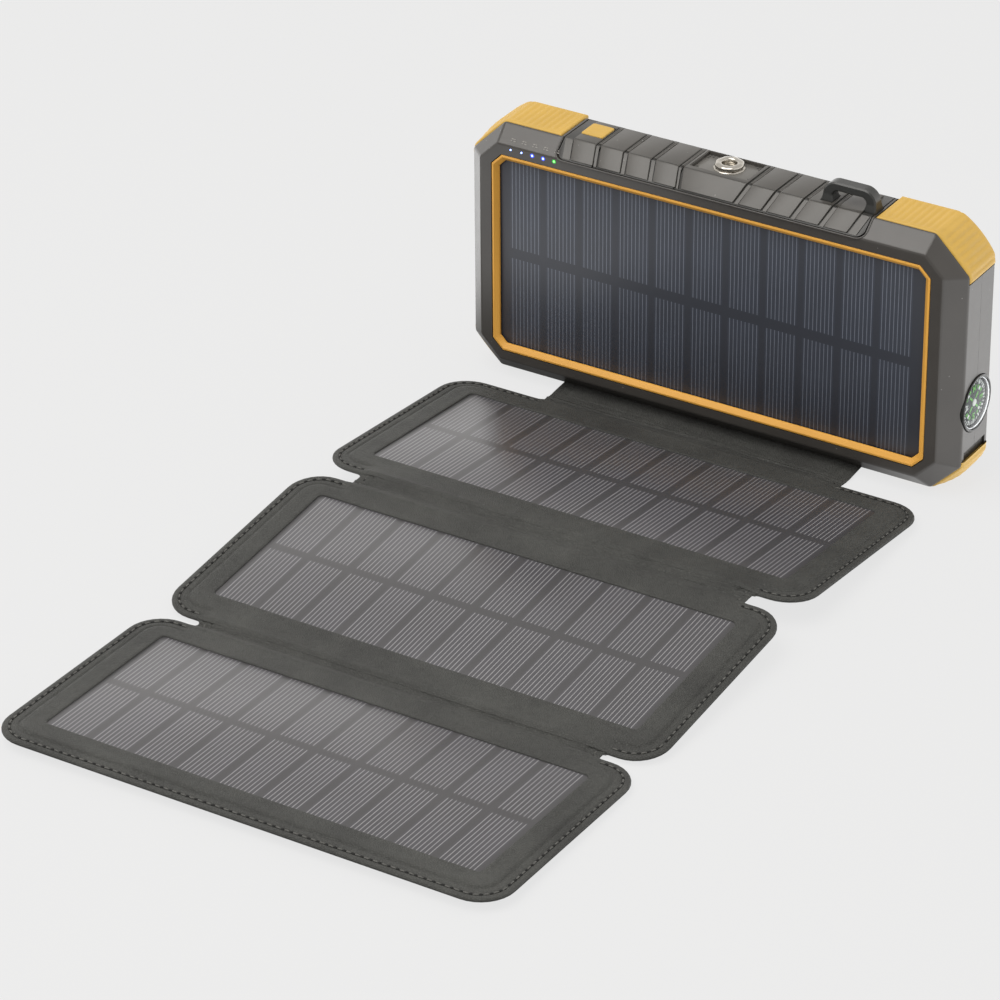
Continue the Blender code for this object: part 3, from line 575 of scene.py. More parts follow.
def ease(low, high, value):
    t = min(1.0, max(0.0, (value - low) / (high - low)))
    return t * t * (3 - 2 * t)


def octagon(half, low, high, low_cut, high_cut, grow=0.0):
    side, bottom, top = half + grow, low - grow, high + grow
    near = low_cut + grow * (2 - math.sqrt(2))
    far = high_cut + grow * (2 - math.sqrt(2))
    return [
        (near - side, bottom), (side - near, bottom), (side, bottom + near), (side, top - far),
        (side - far, top), (far - side, top), (-side, top - far), (-side, bottom + near),
    ]


LOW, HIGH, HALF = 0.9, 88.3, 88.0
LOW_CUT, HIGH_CUT = 9.9, 11.8  # the cuts across the corners at the foot and at the top
BEVEL, BEVEL_RISE, FACE_TOP = 5.8, 4.9, 83.4
SLOPE = math.atan2(BEVEL_RISE, BEVEL)  # the front bevel's angle
UP_BEVEL = Vector((0, math.cos(SLOPE), math.sin(SLOPE)))
OUT_OF_BEVEL = Vector((0, -math.sin(SLOPE), math.cos(SLOPE)))


def housing(grow=0.0):
    return octagon(HALF, LOW, HIGH, LOW_CUT, HIGH_CUT, grow)


def face():
    return octagon(82.0, 6.6, FACE_TOP, 7.0, 6.4)


def ring_shape(grow=0.0):
    return octagon(77.75, 9.9, 79.5, 3.7, 3.7, grow)


def deep(outline, y):
    """An outline (x, z) of the bank, y behind its front face."""
    return [(x, BANK_Y + y, z) for x, z in outline]


def on_bevel(slide):
    """(y, z) of the front bevel, slide up it from its lower edge."""
    return slide * math.cos(SLOPE), FACE_TOP + slide * math.sin(SLOPE)


def rounded_box(width, length, radius, middle=(0.0, 0.0), arc=8, long=44, short=22):
    """An outline with the same number of points in each arc and side, whatever its size."""
    centres = []
    for sx, sy in ((1, 1), (-1, 1), (-1, -1), (1, -1)):
        x, y = middle[0] + sx * (width / 2 - radius), middle[1] + sy * (length / 2 - radius)
        centres.append((x, y))

    def rim(corner, quarters):
        (x, y), angle = centres[corner % 4], math.pi / 2 * quarters
        return x + radius * math.cos(angle), y + radius * math.sin(angle)

    points = []
    for quarter in range(4):
        points += [rim(quarter, quarter + step / arc) for step in range(arc + 1)]
        (ax, ay), (bx, by) = points[-1], rim(quarter + 1, quarter + 1)
        count = short if quarter % 2 else long
        for step in range(1, count):
            share = step / count
            points.append((ax + (bx - ax) * share, ay + (by - ay) * share))
    return points


# ---------------------------------------------------------------- bank housing

SEAM = 0.03  # half the gap between the two shells
LAMP_X, LAMP_Z = (-70.7, -66.7, -62.7, -58.7, -54.7), 82
COMPASS = (HALF, BANK_Y + MIDDLE, 29.5)
LOOP_X, LOOP_LEG = 45.2, 7.45  # the lanyard loop's middle, and from there to each leg
STRIP_HALF, STRIP_BACK, STRIP_THICK = 54.2, 20.9, 1.15
COVER = (-41.0, -11.6)  # the port cover's part of the strip
SPLAY = 2.0  # how far a block leans as it runs down the bevel
BLOCK_EDGES = [(-11.2, 11.2)]
for index in range(4):
    inner = 13.1 + 9.9 * index
    BLOCK_EDGES.append((inner, inner + 8.0))
    BLOCK_EDGES.append((-inner - 8.0, -inner))
BLOCK_EDGES.sort()
# for a bumper at the top or not: the housing's corners that it covers, where it starts and ends
PADS = {True: (4, 3, 55.75, HIGH - 14.25), False: (1, 2, 64.65, LOW + 10.45)}
# stations across a bumper, closer together near its edges
PAD_Y = (
    6.15, 6.25, 6.5, 6.9, 7.6, 8.6, 9.6, 11, 12.5, 14, 15.5, 17, 18.5, 20, 21.2, 22.1, 22.5, 22.75,
    22.85,
)


def strip_slice(x, slide, grow, tall):
    """The top strip's cross-section at x. slide shortens its lower end."""
    y, z = on_bevel(slide)
    top, under, back = HIGH + tall, HIGH - STRIP_THICK - grow, STRIP_BACK + grow
    section = [
        (y - tall, z - grow), (BEVEL - tall, top), (back, top), (back, under), (6.0, under),
        (y + STRIP_THICK + grow + 0.5, z - grow),
    ]
    return [(x, BANK_Y + a, b) for a, b in section]


def strip_skin(left, right, grow=0.0, tall=0.0):
    """The strip between two x, with its free lower corners rounded."""
    radius, steps = 3.0, 6
    places = {left: 0.0, right: 0.0}
    for free, sign, base in ((-STRIP_HALF, 1, left), (STRIP_HALF, -1, right)):
        if abs(free - base) < 0.6:
            for step in range(steps + 1):
                angle = math.pi / 2 * step / steps
                x = base + sign * radius * (1 - math.cos(angle))
                places[x] = radius * (1 - math.sin(angle))
    return skin([strip_slice(x, places[x], grow, tall) for x in sorted(places)])


def pad_recess(side, top):
    """Outline (x, z) of a corner bumper's recess."""
    outer, inner = housing(1.5), housing(-1.5)
    a, b, start, end = PADS[top]
    room = 0.45
    start -= room
    end += -room if top else room
    points = [(start, outer[a][1]), outer[a], outer[b], (outer[b][0], end)]
    points += [(inner[b][0], end), inner[b], inner[a], (start, inner[a][1])]
    return [(side * x, z) for x, z in points]


def recesses():
    """What is cut out of both shells."""
    tools = []
    for side in (-1, 1):
        for top in (True, False):
            outline = pad_recess(side, top)
            tools.append(skin([deep(outline, 6.0), deep(outline, 23.0)]))
        x0, x1 = sorted((side * 84.4, side * 90.0))
        tools.append(brick((x0, 7.4, LOW + 10.4), (x1, 21.6, LOW + 14.2)))
        leg = LOOP_X + side * LOOP_LEG
        tools.append(brick((leg - 2.2, 7.2, 84), (leg + 2.2, 13.1, 92)))
    tools.append(strip_skin(-STRIP_HALF - 0.35, STRIP_HALF + 0.35, 0.35, 3.0))
    tools.append(turn([(9.45, -9), (9.45, 4)], COMPASS, (1, 0, 0)))
    # the ports, the button and the snap stud's rivet
    tools.append(brick((-40.35, 11.4, 73), (-26.65, 17.6, 92)))
    tools.append(brick((-24.05, 12.6, 73), (-14.55, 16.4, 92)))
    tools.append(brick((-49.4, 11.6, 80), (-44.6, 16.4, 92)))
    tools.append(turn([(2.0, 80), (2.0, 92)], (0, BANK_Y + MIDDLE, 0), (0, 0, 1)))
    return tools


def build_housing():
    shared = recesses()
    rings = [deep(face(), 0), deep(housing(), BEVEL), deep(housing(), MIDDLE + 4)]
    front = make("housing_front", *skin(rings), HOUSING)
    rounded(front, 0.55)
    behind = brick((-95, MIDDLE - SEAM, -5), (95, MIDDLE + 6, 95))
    pocket = skin([deep(ring_shape(0.25), -2), deep(ring_shape(0.25), 3.3)])
    bore = [(0.42, -1), (0.42, 9)]
    holes = [turn(bore, (x, BANK_Y, LAMP_Z), (0, 1, 0), 20) for x in LAMP_X]
    clamp = brick((-55.6, 6.5, -1), (55.6, 13.8, 2.5))
    carve(front, [behind, pocket, clamp, *holes, *shared], 3)
    settled_piece(front, "power_bank", "housing", "front_shell")
    # the rear bevel starts further forward along the top than at the sides
    start = 8.0
    lowered = octagon(HALF, LOW, HIGH - BEVEL_RISE * (start - BEVEL) / start, LOW_CUT, HIGH_CUT)
    rings = [deep(housing(), MIDDLE - 4), deep(housing(), THICK - start)]
    rings += [deep(lowered, THICK - BEVEL), deep(face(), THICK)]
    rear = make("housing_rear", *skin(rings), HOUSING)
    rounded(rear, 0.55)
    ahead = brick((-95, MIDDLE - 6, -5), (95, MIDDLE + SEAM, 95))
    seats = []
    for x in (-77, 77):
        for z in (16.5, 73.5):
            screw = (x, BANK_Y + THICK, z)
            seats.append(turn([(2.9, 1.6), (2.9, -1)], screw, (0, -1, 0), 32))
            seats.append(turn([(1.3, 12), (1.3, -1)], screw, (0, -1, 0), 20))
    carve(rear, [ahead, *seats, *shared], 3)
    settled_piece(rear, "power_bank", "housing", "rear_shell")


def build_ring():
    profile = [  # (growth of the outline, depth)
        (0.0, 0.15), (-0.1, 0.02), (-0.3, -0.06), (-0.7, -0.04), (-1.9, 1.05), (-2.05, 1.25),
        (-2.1, 1.5), (-2.1, 1.7), (0.0, 1.7),
    ]
    rings = [deep(ring_shape(grow), y) for grow, y in profile]
    ring = make("trim_ring_bright", *skin(rings, True), RING, 30)
    settled_piece(ring, "power_bank", "amber", "trim_ring")


def cells(name, loops, material, area):
    """A laminate from loops of points, with UVs over area, which gives (u, v) of a point."""
    sheet = make(name, *skin(loops), material, 30)
    layer = sheet.data.uv_layers.new(name="cells")
    for loop in sheet.data.loops:
        point = sheet.data.vertices[loop.vertex_index].co / MM
        layer.data[loop.index].uv = area(point)
    return sheet


def build_bank_panel():
    loops = [deep(ring_shape(grow), y) for grow, y in ((-0.3, 3.0), (-0.3, 2.05), (-0.4, 2.0))]

    def area(point):
        return (point.x + 73.1) / 145.4, (point.z - 10.2) / (79.2 - 10.2)

    panel = cells("bank_solar", loops, BANK_CELLS, area)
    settled_piece(panel, "power_bank", "solar", "bank_solar_panel")


def pad_path(top):
    """A right-hand bumper's outer line: even (point, outward, distance), and its length."""
    base = housing()
    a, b, start, end = PADS[top]
    corners = [Vector(p) for p in ((start, base[a][1]), base[a], base[b], (base[b][0], end))]
    reach, spacing = 1.6, 0.28
    path = [corners[0]]
    for i in (1, 2):
        before = (corners[i - 1] - corners[i]).normalized()
        after = (corners[i + 1] - corners[i]).normalized()
        p, q = corners[i] + before * reach, corners[i] + after * reach
        for step in range(7):
            t = step / 6
            path.append(p * (1 - t) ** 2 + corners[i] * 2 * t * (1 - t) + q * t * t)
    path.append(corners[3])
    lengths = [(q - p).length for p, q in zip(path, path[1:])]
    total = sum(lengths)
    count = int(total / spacing)
    even = []
    for k in range(count + 1):
        at = left = total * k / count
        for p, q, length in zip(path, path[1:], lengths):
            if left <= length or q is path[-1]:
                along = (q - p).normalized()
                outward = Vector((-along.y, along.x)) if top else Vector((along.y, -along.x))
                # a bottom bumper's line turns back for a millimetre at its end
                if outward.dot(p - Vector((0, 45))) < 0:
                    outward = -outward
                even.append((p + along * left, outward, at))
                break
            left -= length
    return even, total


def pad_profile(top, at, total):
    """(y, lift) across a bumper, at a distance along its line."""
    cut = HIGH_CUT if top else LOW_CUT
    share = (at - (HALF - cut - PADS[top][2])) / (cut * math.sqrt(2))
    bulge = 0.0
    if 0 < share < 1:
        bulge = (1.35 if top else 1.7) * math.sin(math.pi * share) ** 0.7
    upright = ease(0.0, 1.0, share)
    proud = 0.5 if top else 0.9 - 0.15 * upright
    soft = 0.7 if top else 1.4 + 2.3 * (1 - upright)
    wave = 0.5 + 0.5 * math.cos(2 * math.pi * at / 2.25)
    for y in PAD_Y:
        edge = min(y - PAD_Y[0], PAD_Y[-1] - y, at, total - at)
        lift = proud * min(1.0, math.sqrt(max(0.0, edge) / soft))
        lift += bulge * (0.2 + 0.8 * ease(6.2, 12.5, y))
        lift -= 0.3 * min(1.0, max(0.0, (edge - 0.6) / 1.6)) * (1 - wave) ** 1.5
        yield y, lift


def build_bumpers():
    for side, word in ((-1, "left"), (1, "right")):
        for top in (True, False):
            path, total = pad_path(top)
            outer, inner = [], []
            for point, outward, at in path:
                row, base = [], []
                q = point - outward * 1.1
                for y, lift in pad_profile(top, at, total):
                    p = point + outward * lift
                    row.append((side * p.x, BANK_Y + y, max(p.y, 0.0)))
                    base.append((side * q.x, BANK_Y + y, q.y))
                outer.append(row)
                inner.append(base)
            place = f"{'top' if top else 'bottom'}_{word}"
            pad = make(f"bumper_{place}", *slab(outer, inner), AMBER, 50)
            settled_piece(pad, "power_bank", "amber", f"{place}_bumper")
        # a dark block at the back of each foot slot, painting the shade of the slot's depth
        x0, x1 = sorted((side * 84.5, side * 87.3))
        slot_shade = brick((x0, 7.45, LOW + 9.0), (x1, 21.55, LOW + 14.15))
        settled_piece(make(f"foot_slot_{word}", *slot_shade, SHADE_AND_DARK_TRIM, 0), "power_bank", "black")


def build_rim():
    """The fine raised bead round the strip's lower edge."""
    half, radius = STRIP_HALF + 0.75, 3.2
    path = [(-half, BEVEL, HIGH)]
    for step in range(7):
        angle = math.pi / 2 * step / 6
        x = half - radius * (1 - math.cos(angle))
        path.append((-x, *on_bevel(-0.45 + radius * (1 - math.sin(angle)))))
    path += [(-x, y, z) for x, y, z in reversed(path)]
    rings = []
    for i, (x, y, z) in enumerate(path):
        near, far = Vector(path[max(0, i - 1)]), Vector(path[min(len(path) - 1, i + 1)])
        across = (far - near).normalized().cross(OUT_OF_BEVEL).normalized()
        middle = Vector((x, BANK_Y + y, z))
        ring = []
        for step in range(8):
            angle = math.pi * 2 * step / 8
            out = OUT_OF_BEVEL * 0.26 * math.sin(angle)
            ring.append(tuple(middle + across * 0.3 * math.cos(angle) + out))
        rings.append(ring)
    bead = make("strip_rim", *skin(rings), HOUSING, 60)
    settled_piece(bead, "power_bank", "housing")


# ---------------------------------------------------------------- top strip


def block(left, right):
    """A raised block. Down the bevel it leans towards the middle, and the middle one narrows."""
    lean = SPLAY * math.copysign(1, left)
    leans = (-SPLAY, SPLAY) if left < 0 < right else (lean, lean)
    rings = []
    for x, splay in zip((left, right), leans):
        low = x - splay
        section = [
            (low, 0.02, 84.0), (x - splay * 0.06, 5.3, HIGH + 0.42), (x, BEVEL, HIGH + 0.5),
            (x, 20.2, HIGH + 0.42), (x, 20.85, HIGH - 0.1),
            (x, 20.7, HIGH - 0.6), (x, 6.1, HIGH - 0.6), (low, 1.5, 83.6),
        ]
        rings.append([(a, BANK_Y + b, c) for a, b, c in section])
    return skin(rings)


def channel(left, right):
    """The low bar in the groove between two blocks, where it runs down the bevel."""
    lean = SPLAY * math.copysign(1, left)
    section = ((0.05, -0.3), (0.05, 0.2), (0.12, 0.3), (0.9, 0.3), (0.97, 0.22), (0.97, -0.3))
    rings = []
    for x in (left + 0.45, right - 0.22):
        ring = []
        for t, lift in section:
            out = OUT_OF_BEVEL * lift
            y, z = BEVEL * t, FACE_TOP + BEVEL_RISE * t
            ring.append((x - lean * (1 - t), BANK_Y + y + out.y, z + out.z))
        rings.append(ring)
    return skin(rings)


def groove_ribs(low, high):
    """The low bars in the grooves between low and high, along the top, with fine cross ribs."""
    parts = []
    for (_, left), (right, _) in zip(BLOCK_EDGES, BLOCK_EDGES[1:]):
        if low < left < high:
            parts.append(brick((left + 0.55, 6.5, HIGH - 0.3), (right - 0.14, 20.1, HIGH + 0.26)))
            for step in range(15):
                y = 6.5 + 0.3 + 0.86 * step
                parts.append(brick((left + 0.6, y, HIGH - 0.3), (right - 0.2, y + 0.5, HIGH + 0.36)))
    return parts


def crest_shade_line(left, right):
    """A fine dark line where a block turns from the bevel to the top: painted shade."""
    return brick((left + 0.25, 5.62, HIGH + 0.2), (right - 0.25, 5.92, HIGH + 0.515))


def build_strip():
    gap = 0.15  # half the gap on each side of the port cover
    spans = (
        ("button_surround", -STRIP_HALF, COVER[0] - gap, "power_bank"),
        ("port_cover", COVER[0] + gap, COVER[1] - gap, "port_cover"),
        ("top_trim", COVER[1] + gap, STRIP_HALF, "power_bank"),
    )
    legs = [LOOP_X - LOOP_LEG, LOOP_X + LOOP_LEG]
    openings = {
        "button_surround": [brick((-51.15, 9.75, 80), (-42.85, 18.25, 95))],
        "port_cover": [],
        "top_trim": [brick((-10.3, 7.6, 80), (10.3, 20.0, 95))]
        + [brick((x - 2.15, 7.25, 80), (x + 2.15, 13.05, 95)) for x in legs],
    }
    edges = [(0, -STRIP_HALF), *BLOCK_EDGES, (STRIP_HALF, 0)]
    for node, left, right, body in spans:
        # the base is dark, painting the shade in the gaps between blocks and ribs
        base = make(f"{node}_base", *strip_skin(left, right), SHADE_AND_DARK_TRIM)
        rounded(base, 0.18, 2)
        if openings[node]:
            carve(base, openings[node])
        settled_piece(base, body, "trim", node)
        crest_shades = []
        for number, (a, b) in enumerate(BLOCK_EDGES, 1):
            if left - 1 < a and b < right + 1:
                raised = make(f"{node}_block_{number}", *block(a, b), TRIM)
                rounded(raised, 0.26, 3, 12, 25)
                if openings[node]:
                    carve(raised, openings[node])
                settled_piece(raised, body, "trim")
                crest_shades.append(crest_shade_line(a, b))
        bars = [
            channel(max(a, left + 0.1), min(b, right - 0.1))
            for (_, a), (b, _) in zip(edges, edges[1:]) if left < (a + b) / 2 < right
        ]
        ribs = groove_ribs(left, right)
        settled_piece(make(f"{node}_channels", *merge(bars), TRIM, 25), body, "trim")
        settled_piece(make(f"{node}_ribs", *merge(ribs), TRIM, 0), body, "trim")
        # fine dark lines of painted shade along the block crests
        settled_piece(make(f"{node}_crests", *merge(crest_shades), SHADE_AND_DARK_TRIM, 0), body, "trim")


def build_button():
    x, y, half_x, half_y = -47.0, 14.0, 3.9, 4.0
    centre = (x, BANK_Y + y)
    rings = []
    for inset, z in ((0, 87.6), (0, 88.75), (0.12, 88.98), (0.35, 89.08), (1.4, 89.0), (3.0, 88.95)):
        size = (2 * half_x - 2 * inset, 2 * half_y - 2 * inset)
        rings.append([(a, b, z) for a, b in rounded_box(*size, 0.7, centre, 4, 6, 6)])
    cap = make("button_cap", *skin(rings), AMBER, 40)
    settled_piece(cap, "power_button", "amber", "power_button")
    stem = brick((x - 1.8, y - 1.8, 85.2), (x + 1.8, y + 1.8, 87.7))
    settled_piece(make("button_post", *stem, BLACK), "power_button", "black")


def build_stud():
    centre = (0, BANK_Y + MIDDLE, 86.85)
    rim = [
        (2.35, 0.9), (2.35, 2.3), (2.55, 2.62), (2.95, 2.78), (3.6, 2.78), (4.2, 2.66), (4.58, 2.4),
        (4.68, 2.1), (4.68, 1.6), (4.56, 1.42), (4.3, 1.34), (4.3, 1.18), (4.95, 1.08), (5.1, 0.9),
        (5.1, 0.0),
    ]
    stud = make("stud_cap", *pressed(rim, centre), STEEL, 45)
    settled_piece(stud, "power_bank", "steel", "snap_stud")
    eye = [(0.01, 1.3), (0.9, 1.25), (1.25, 0.95), (1.9, 0.85), (2.3, 0.95), (2.3, 0.2)]
    rivet = make("stud_rivet", *turn(eye, centre, (0, 0, 1), 32), STEEL, 45)
    settled_piece(rivet, "power_bank", "steel")
    # small studs in each corner of the plate
    dot = [(0.36, 0.0), (0.36, 0.12), (0.2, 0.22), (0.01, 0.25)]
    dots = []
    for sx in (-1, 1):
        for sy in (-1, 1):
            for i, j in ((0, 0), (1, 0), (0, 1), (2, 0), (1, 1), (0, 2)):
                x, y = sx * (9.0 - 1.15 * i), BANK_Y + 13.8 + sy * (5.6 - 1.05 * j)
                dots.append(turn(dot, (x, y, 87.52), (0, 0, 1), 10))
    settled_piece(make("stud_plate_studs", *merge(dots), SHADE_AND_DARK_TRIM, 40), "power_bank", "trim")
    plate = make("stud_plate_top", *brick((-10.2, 7.7, 85.9), (10.2, 19.9, 87.6)), PLATE)
    rounded(plate, 0.35, 3)
    settled_piece(plate, "power_bank", "trim", "stud_plate")
    top = HIGH + 0.3
    walls = [brick((-10.28, y, 86.0), (10.28, y + 0.3, top)) for y in (7.62, 19.67)]
    walls += [brick((x, 7.9, 86.0), (x + 0.3, 19.7, top)) for x in (-10.28, 9.98)]
    settled_piece(make("stud_plate_rim", *merge(walls), TRIM, 0), "power_bank", "trim")


def pressed(profile, centre):
    """A turned body with eight shallow dents round its rim, as on a pressed stud."""
    points, faces = turn(profile, centre, (0, 0, 1), 56, True)
    moved = []
    for x, y, z in points:
        dx, dy = x - centre[0], y - centre[1]
        radius = math.hypot(dx, dy)
        dent = 0.0
        if z > centre[2] + 1.3:
            around = 0.5 - 0.5 * math.cos(8 * math.atan2(dy, dx))
            dent = 0.16 * max(0.0, (radius - 2.9) / 1.9) * around
        scale = (radius - dent) / radius
        moved.append((centre[0] + dx * scale, centre[1] + dy * scale, z - dent * 0.8))
    return moved, faces


def build_loop():
    """A lanyard loop with a chamfered section, bent round two corners."""
    half, bar, top, foot, bend = 9.2, 3.5, 95.35, 85.3, 3.3
    reach, rise = half - bar / 2, top - 1.4
    heights = (foot, 88.4, 89.2, 90.2)
    line = [(-reach, z) for z in heights]
    for sign in (-1, 1):
        for step in range(13):
            angle = math.pi / 2 * (step / 12 if sign < 0 else 1 - step / 12)
            x = sign * (reach - bend + bend * math.cos(angle))
            line.append((x, rise - bend + bend * math.sin(angle)))
    line += [(reach, z) for z in reversed(heights)]
    rings = []
    for i, (u, w) in enumerate(line):
        a, b = Vector(line[max(0, i - 1)]), Vector(line[min(len(line) - 1, i + 1)])
        along = (b - a).normalized()
        out = Vector((-along.y, along.x))
        # the legs flare where they enter the bank
        splay = 0.7 * (1 - ease(0.0, 2.6, w - HIGH)) if w < 91 else 0.0
        thick = 1.4 + 0.3 * abs(along.y) + 0.5 * splay
        wide = 2.1 + splay
        section = [
            (-thick, -wide + 0.4), (-thick + 0.4, -wide), (thick - 0.45, -wide),
            (thick, -wide + 0.45), (thick, wide - 0.45), (thick - 0.45, wide),
            (-thick + 0.4, wide), (-thick, wide - 0.4),
        ]
        x, y = LOOP_X + u, BANK_Y + 10.15
        rings.append([(x + out.x * s, y + d, w + out.y * s) for s, d in section])
    loop = make("loop_bar", *skin(rings), LOOP, 20)
    settled_piece(loop, "power_bank", "black", "lanyard_loop")


def lamp_marks(x):
    """Four small plain bars on the bevel above a lamp."""
    marks = []
    for row in range(2):
        start = Vector((x + 0.25, BANK_Y, FACE_TOP)) + UP_BEVEL * (1.6 + 0.75 * row)
        for column in range(2):
            wide = Vector((0.75 if (row + column) % 2 else 0.4, 0, 0))
            low = start + Vector((column * 1.0 - 0.9, 0, 0))
            corners = (low, low + wide, low + wide + UP_BEVEL * 0.32, low + UP_BEVEL * 0.32)
            marks.append(skin([[tuple(p + OUT_OF_BEVEL * h) for p in corners] for h in (-0.05, 0.07)]))
    return merge(marks)


def build_lamps():
    for number, x in enumerate(LAMP_X, 1):
        lit, last = number > 2, number == 5
        place = (x, BANK_Y, LAMP_Z)
        size = 0.36 if lit else 0.27
        dome = [(size, 5.5), (size, 0.0), (size * 0.85, -0.12), (size * 0.5, -0.19), (0.02, -0.22)]
        look = GREEN_LAMP if last else WHITE_LAMP
        lens = make(f"lamp_{number}", *turn(dome, place, (0, 1, 0), 24), look, 50)
        settled_piece(lens, "power_bank", "clear", f"led_lens_{number}")
        if lit:
            profile = [(0.75, 0.3), (0.75, -0.03), (0.38, -0.04), (0.38, 0.3)]
            halo = turn(profile, place, (0, 1, 0), 24, True)
            glow = make(f"lamp_glow_{number}", *halo, GREEN_GLOW if last else BLUE_GLOW, 40)
            settled_piece(glow, "power_bank", "clear")
        settled_piece(make(f"lamp_mark_{number}", *lamp_marks(x), MARK, 0), "power_bank", "trim")


CARD_TOP = Vector((-0.8, 0, 0))  # from the compass's centre
ACROSS = (1, 0, 0)


def card_bar(angle, inner, outer, width):
    """A flat bar on the compass card, pointing outwards at an angle."""
    along = Vector((0, math.sin(angle), math.cos(angle)))
    side = Vector((0, math.cos(angle), -math.sin(angle)))
    ends = ((inner, -1), (inner, 1), (outer, 1), (outer, -1))
    loops = []
    for x in (CARD_TOP.x - 0.06, CARD_TOP.x):
        base = Vector(COMPASS) + Vector((x, 0, 0))
        loops.append([tuple(base + along * far + side * sign * width / 2) for far, sign in ends])
    return skin(loops)


# plain lines for the four directions, as on any compass. Each list of points is drawn in one go.
LETTERS = {
    0: [[(-0.5, -0.7), (-0.5, 0.7), (0.5, -0.7), (0.5, 0.7)]],
    90: [
        [(-0.4, -0.7), (-0.4, 0.7), (0.5, 0.7)], [(-0.4, 0.0), (0.4, 0.0)],
        [(-0.4, -0.7), (0.5, -0.7)],
    ],
    180: [[(0.5, 0.6), (-0.4, 0.7), (-0.4, 0.05), (0.45, -0.05), (0.45, -0.7), (-0.45, -0.6)]],
    270: [[(-0.7, 0.7), (-0.35, -0.7), (0, 0.3), (0.35, -0.7), (0.7, 0.7)]],
}


def letter(degrees, lines):
    """The bodies of one letter on the card, from lines in its own (across, up)."""
    strokes = [stroke for line in lines for stroke in zip(line, line[1:])]
    angle = math.radians(degrees)
    up = Vector((0, math.sin(angle), math.cos(angle)))
    across = Vector((0, math.cos(angle), -math.sin(angle)))
    middle = Vector(COMPASS) + CARD_TOP + up * 4.75
    lift = Vector((0.06, 0, 0))
    bodies = []
    for (u0, w0), (u1, w1) in strokes:
        a = middle + across * u0 * 1.3 + up * w0 * 1.3
        b = middle + across * u1 * 1.3 + up * w1 * 1.3
        along = (b - a).normalized()
        side = along.cross(Vector(ACROSS)) * 0.19
        a, b = a - along * 0.12, b + along * 0.12
        corners = (a - side, b - side, b + side, a + side)
        bodies.append(skin([[tuple(p + lift * k) for p in corners] for k in (0, 1)]))
    return bodies


def build_compass():
    profile = [
        (0.02, -5.2), (8.2, -5.2), (9.1, -4.6), (9.2, -0.4), (9.2, 0.35), (9.0, 0.55), (8.6, 0.5),
        (8.35, 0.2), (8.2, -0.6), (8.0, -4.2), (0.02, -4.3),
    ]
    cup = make("compass_case", *turn(profile, COMPASS, ACROSS, 64), BLACK, 40)
    settled_piece(cup, "power_bank", "black", "compass_cup")
    angles = [math.radians(9.6 * step) for step in range(1, 10)]
    dome = [(8.3, 0.2), *((8.3 * math.cos(a), 0.3 + 1.28 * math.sin(a)) for a in angles)]
    dome += [(0.02, 1.58), (0.02, 1.15)]
    dome += [(7.9 * math.cos(a), 1.15 * math.sin(a)) for a in reversed(angles)]
    dome.append((7.95, 0.0))
    lens = make("compass_dome", *turn(dome, COMPASS, ACROSS, 64, True), CLEAR, 60)
    settled_piece(lens, "power_bank", "clear", "compass_lens")
    profile = [
        (0.02, -1.05), (1.2, -1.05), (1.2, -0.85), (7.5, -0.85), (7.55, -1.1), (7.4, -1.35),
        (0.02, -1.35),
    ]
    card = make("compass_disc", *turn(profile, COMPASS, ACROSS, 64), DIAL_BLACK, 30)
    settled_piece(card, "compass_card", "dial", "compass_card")
    white, green = [], []
    for tick in range(36):
        angle = math.radians(10 * tick)
        if tick % 3:
            white.append(card_bar(angle, 6.3, 7.25, 0.34))
        else:
            white.append(card_bar(angle, 5.9, 7.25, 0.6))
        if tick % 3 == 0 and tick % 9:
            green.append(card_bar(angle - math.radians(3.6), 4.5, 5.6, 0.34))
            green.append(card_bar(angle + math.radians(3.6), 4.5, 5.6, 0.34))
    for quarter in range(4):
        angle = math.radians(45 + 90 * quarter)
        green.append(card_bar(angle, 1.5, 3.7, 0.6))
        white.append(card_bar(angle, 4.3, 5.5, 0.9))
    for degrees, lines in LETTERS.items():
        (white if degrees == 270 else green).extend(letter(degrees, lines))
    settled_piece(make("compass_white", *merge(white), DIAL_WHITE, 0), "compass_card", "dial")
    settled_piece(make("compass_green", *merge(green), DIAL_GREEN, 0), "compass_card", "dial")
    profile = [(1.2, -0.9), (1.2, -0.6), (0.9, -0.4), (0.02, -0.35)]
    hub = make("compass_hub", *turn(profile, COMPASS, ACROSS, 40), DIAL_WHITE, 40)
    settled_piece(hub, "compass_card", "dial")


# ---------------------------------------------------------------- folio

PANEL_W, PANEL_L, PANEL_T = 169.9, 81.2, 2.8
PANEL_RADIUS = 11
PANEL_MIDDLE = (0.0, PANEL_L / 2)
WINDOW_W, WINDOW_L, WINDOW_BACK = 146.0, 58.3, 10.6
WINDOW_MIDDLE = (0.0, WINDOW_BACK + WINDOW_L / 2)
EDGE = [  # (inset from the edge, top below the face, bottom above the back)
    (0.0, 1.25, 1.2), (0.12, 0.95, 0.95), (0.35, 0.78, 0.78), (0.75, 0.66, 0.66), (1.3, 0.6, 0.6),
    (1.7, 0.62, 0.62), (2.0, 0.78, 0.72), (2.25, 0.84, 0.76), (2.5, 0.78, 0.72), (2.9, 0.6, 0.54),
    (3.7, 0.5, 0.42), (4.4, 0.5, 0.38), (4.75, 0.68, 0.46), (5.0, 0.7, 0.46), (5.25, 0.52, 0.36),
    (5.7, 0.16, 0.12), (6.4, 0.02, 0.0),
]
STITCH_INSET = 2.25
FOLD_STEP = 0.4  # the leather dips this far beyond the edge of the board
# each fold's half width, and how far it sags between the boards: at the bank, the spine, panel 3
FOLD_A, FOLD_B, FOLD_C = (54.0, 0.8), (69.0, 0.95), (69.3, 0.8)
STRAP_PITCH = math.radians(13.4)


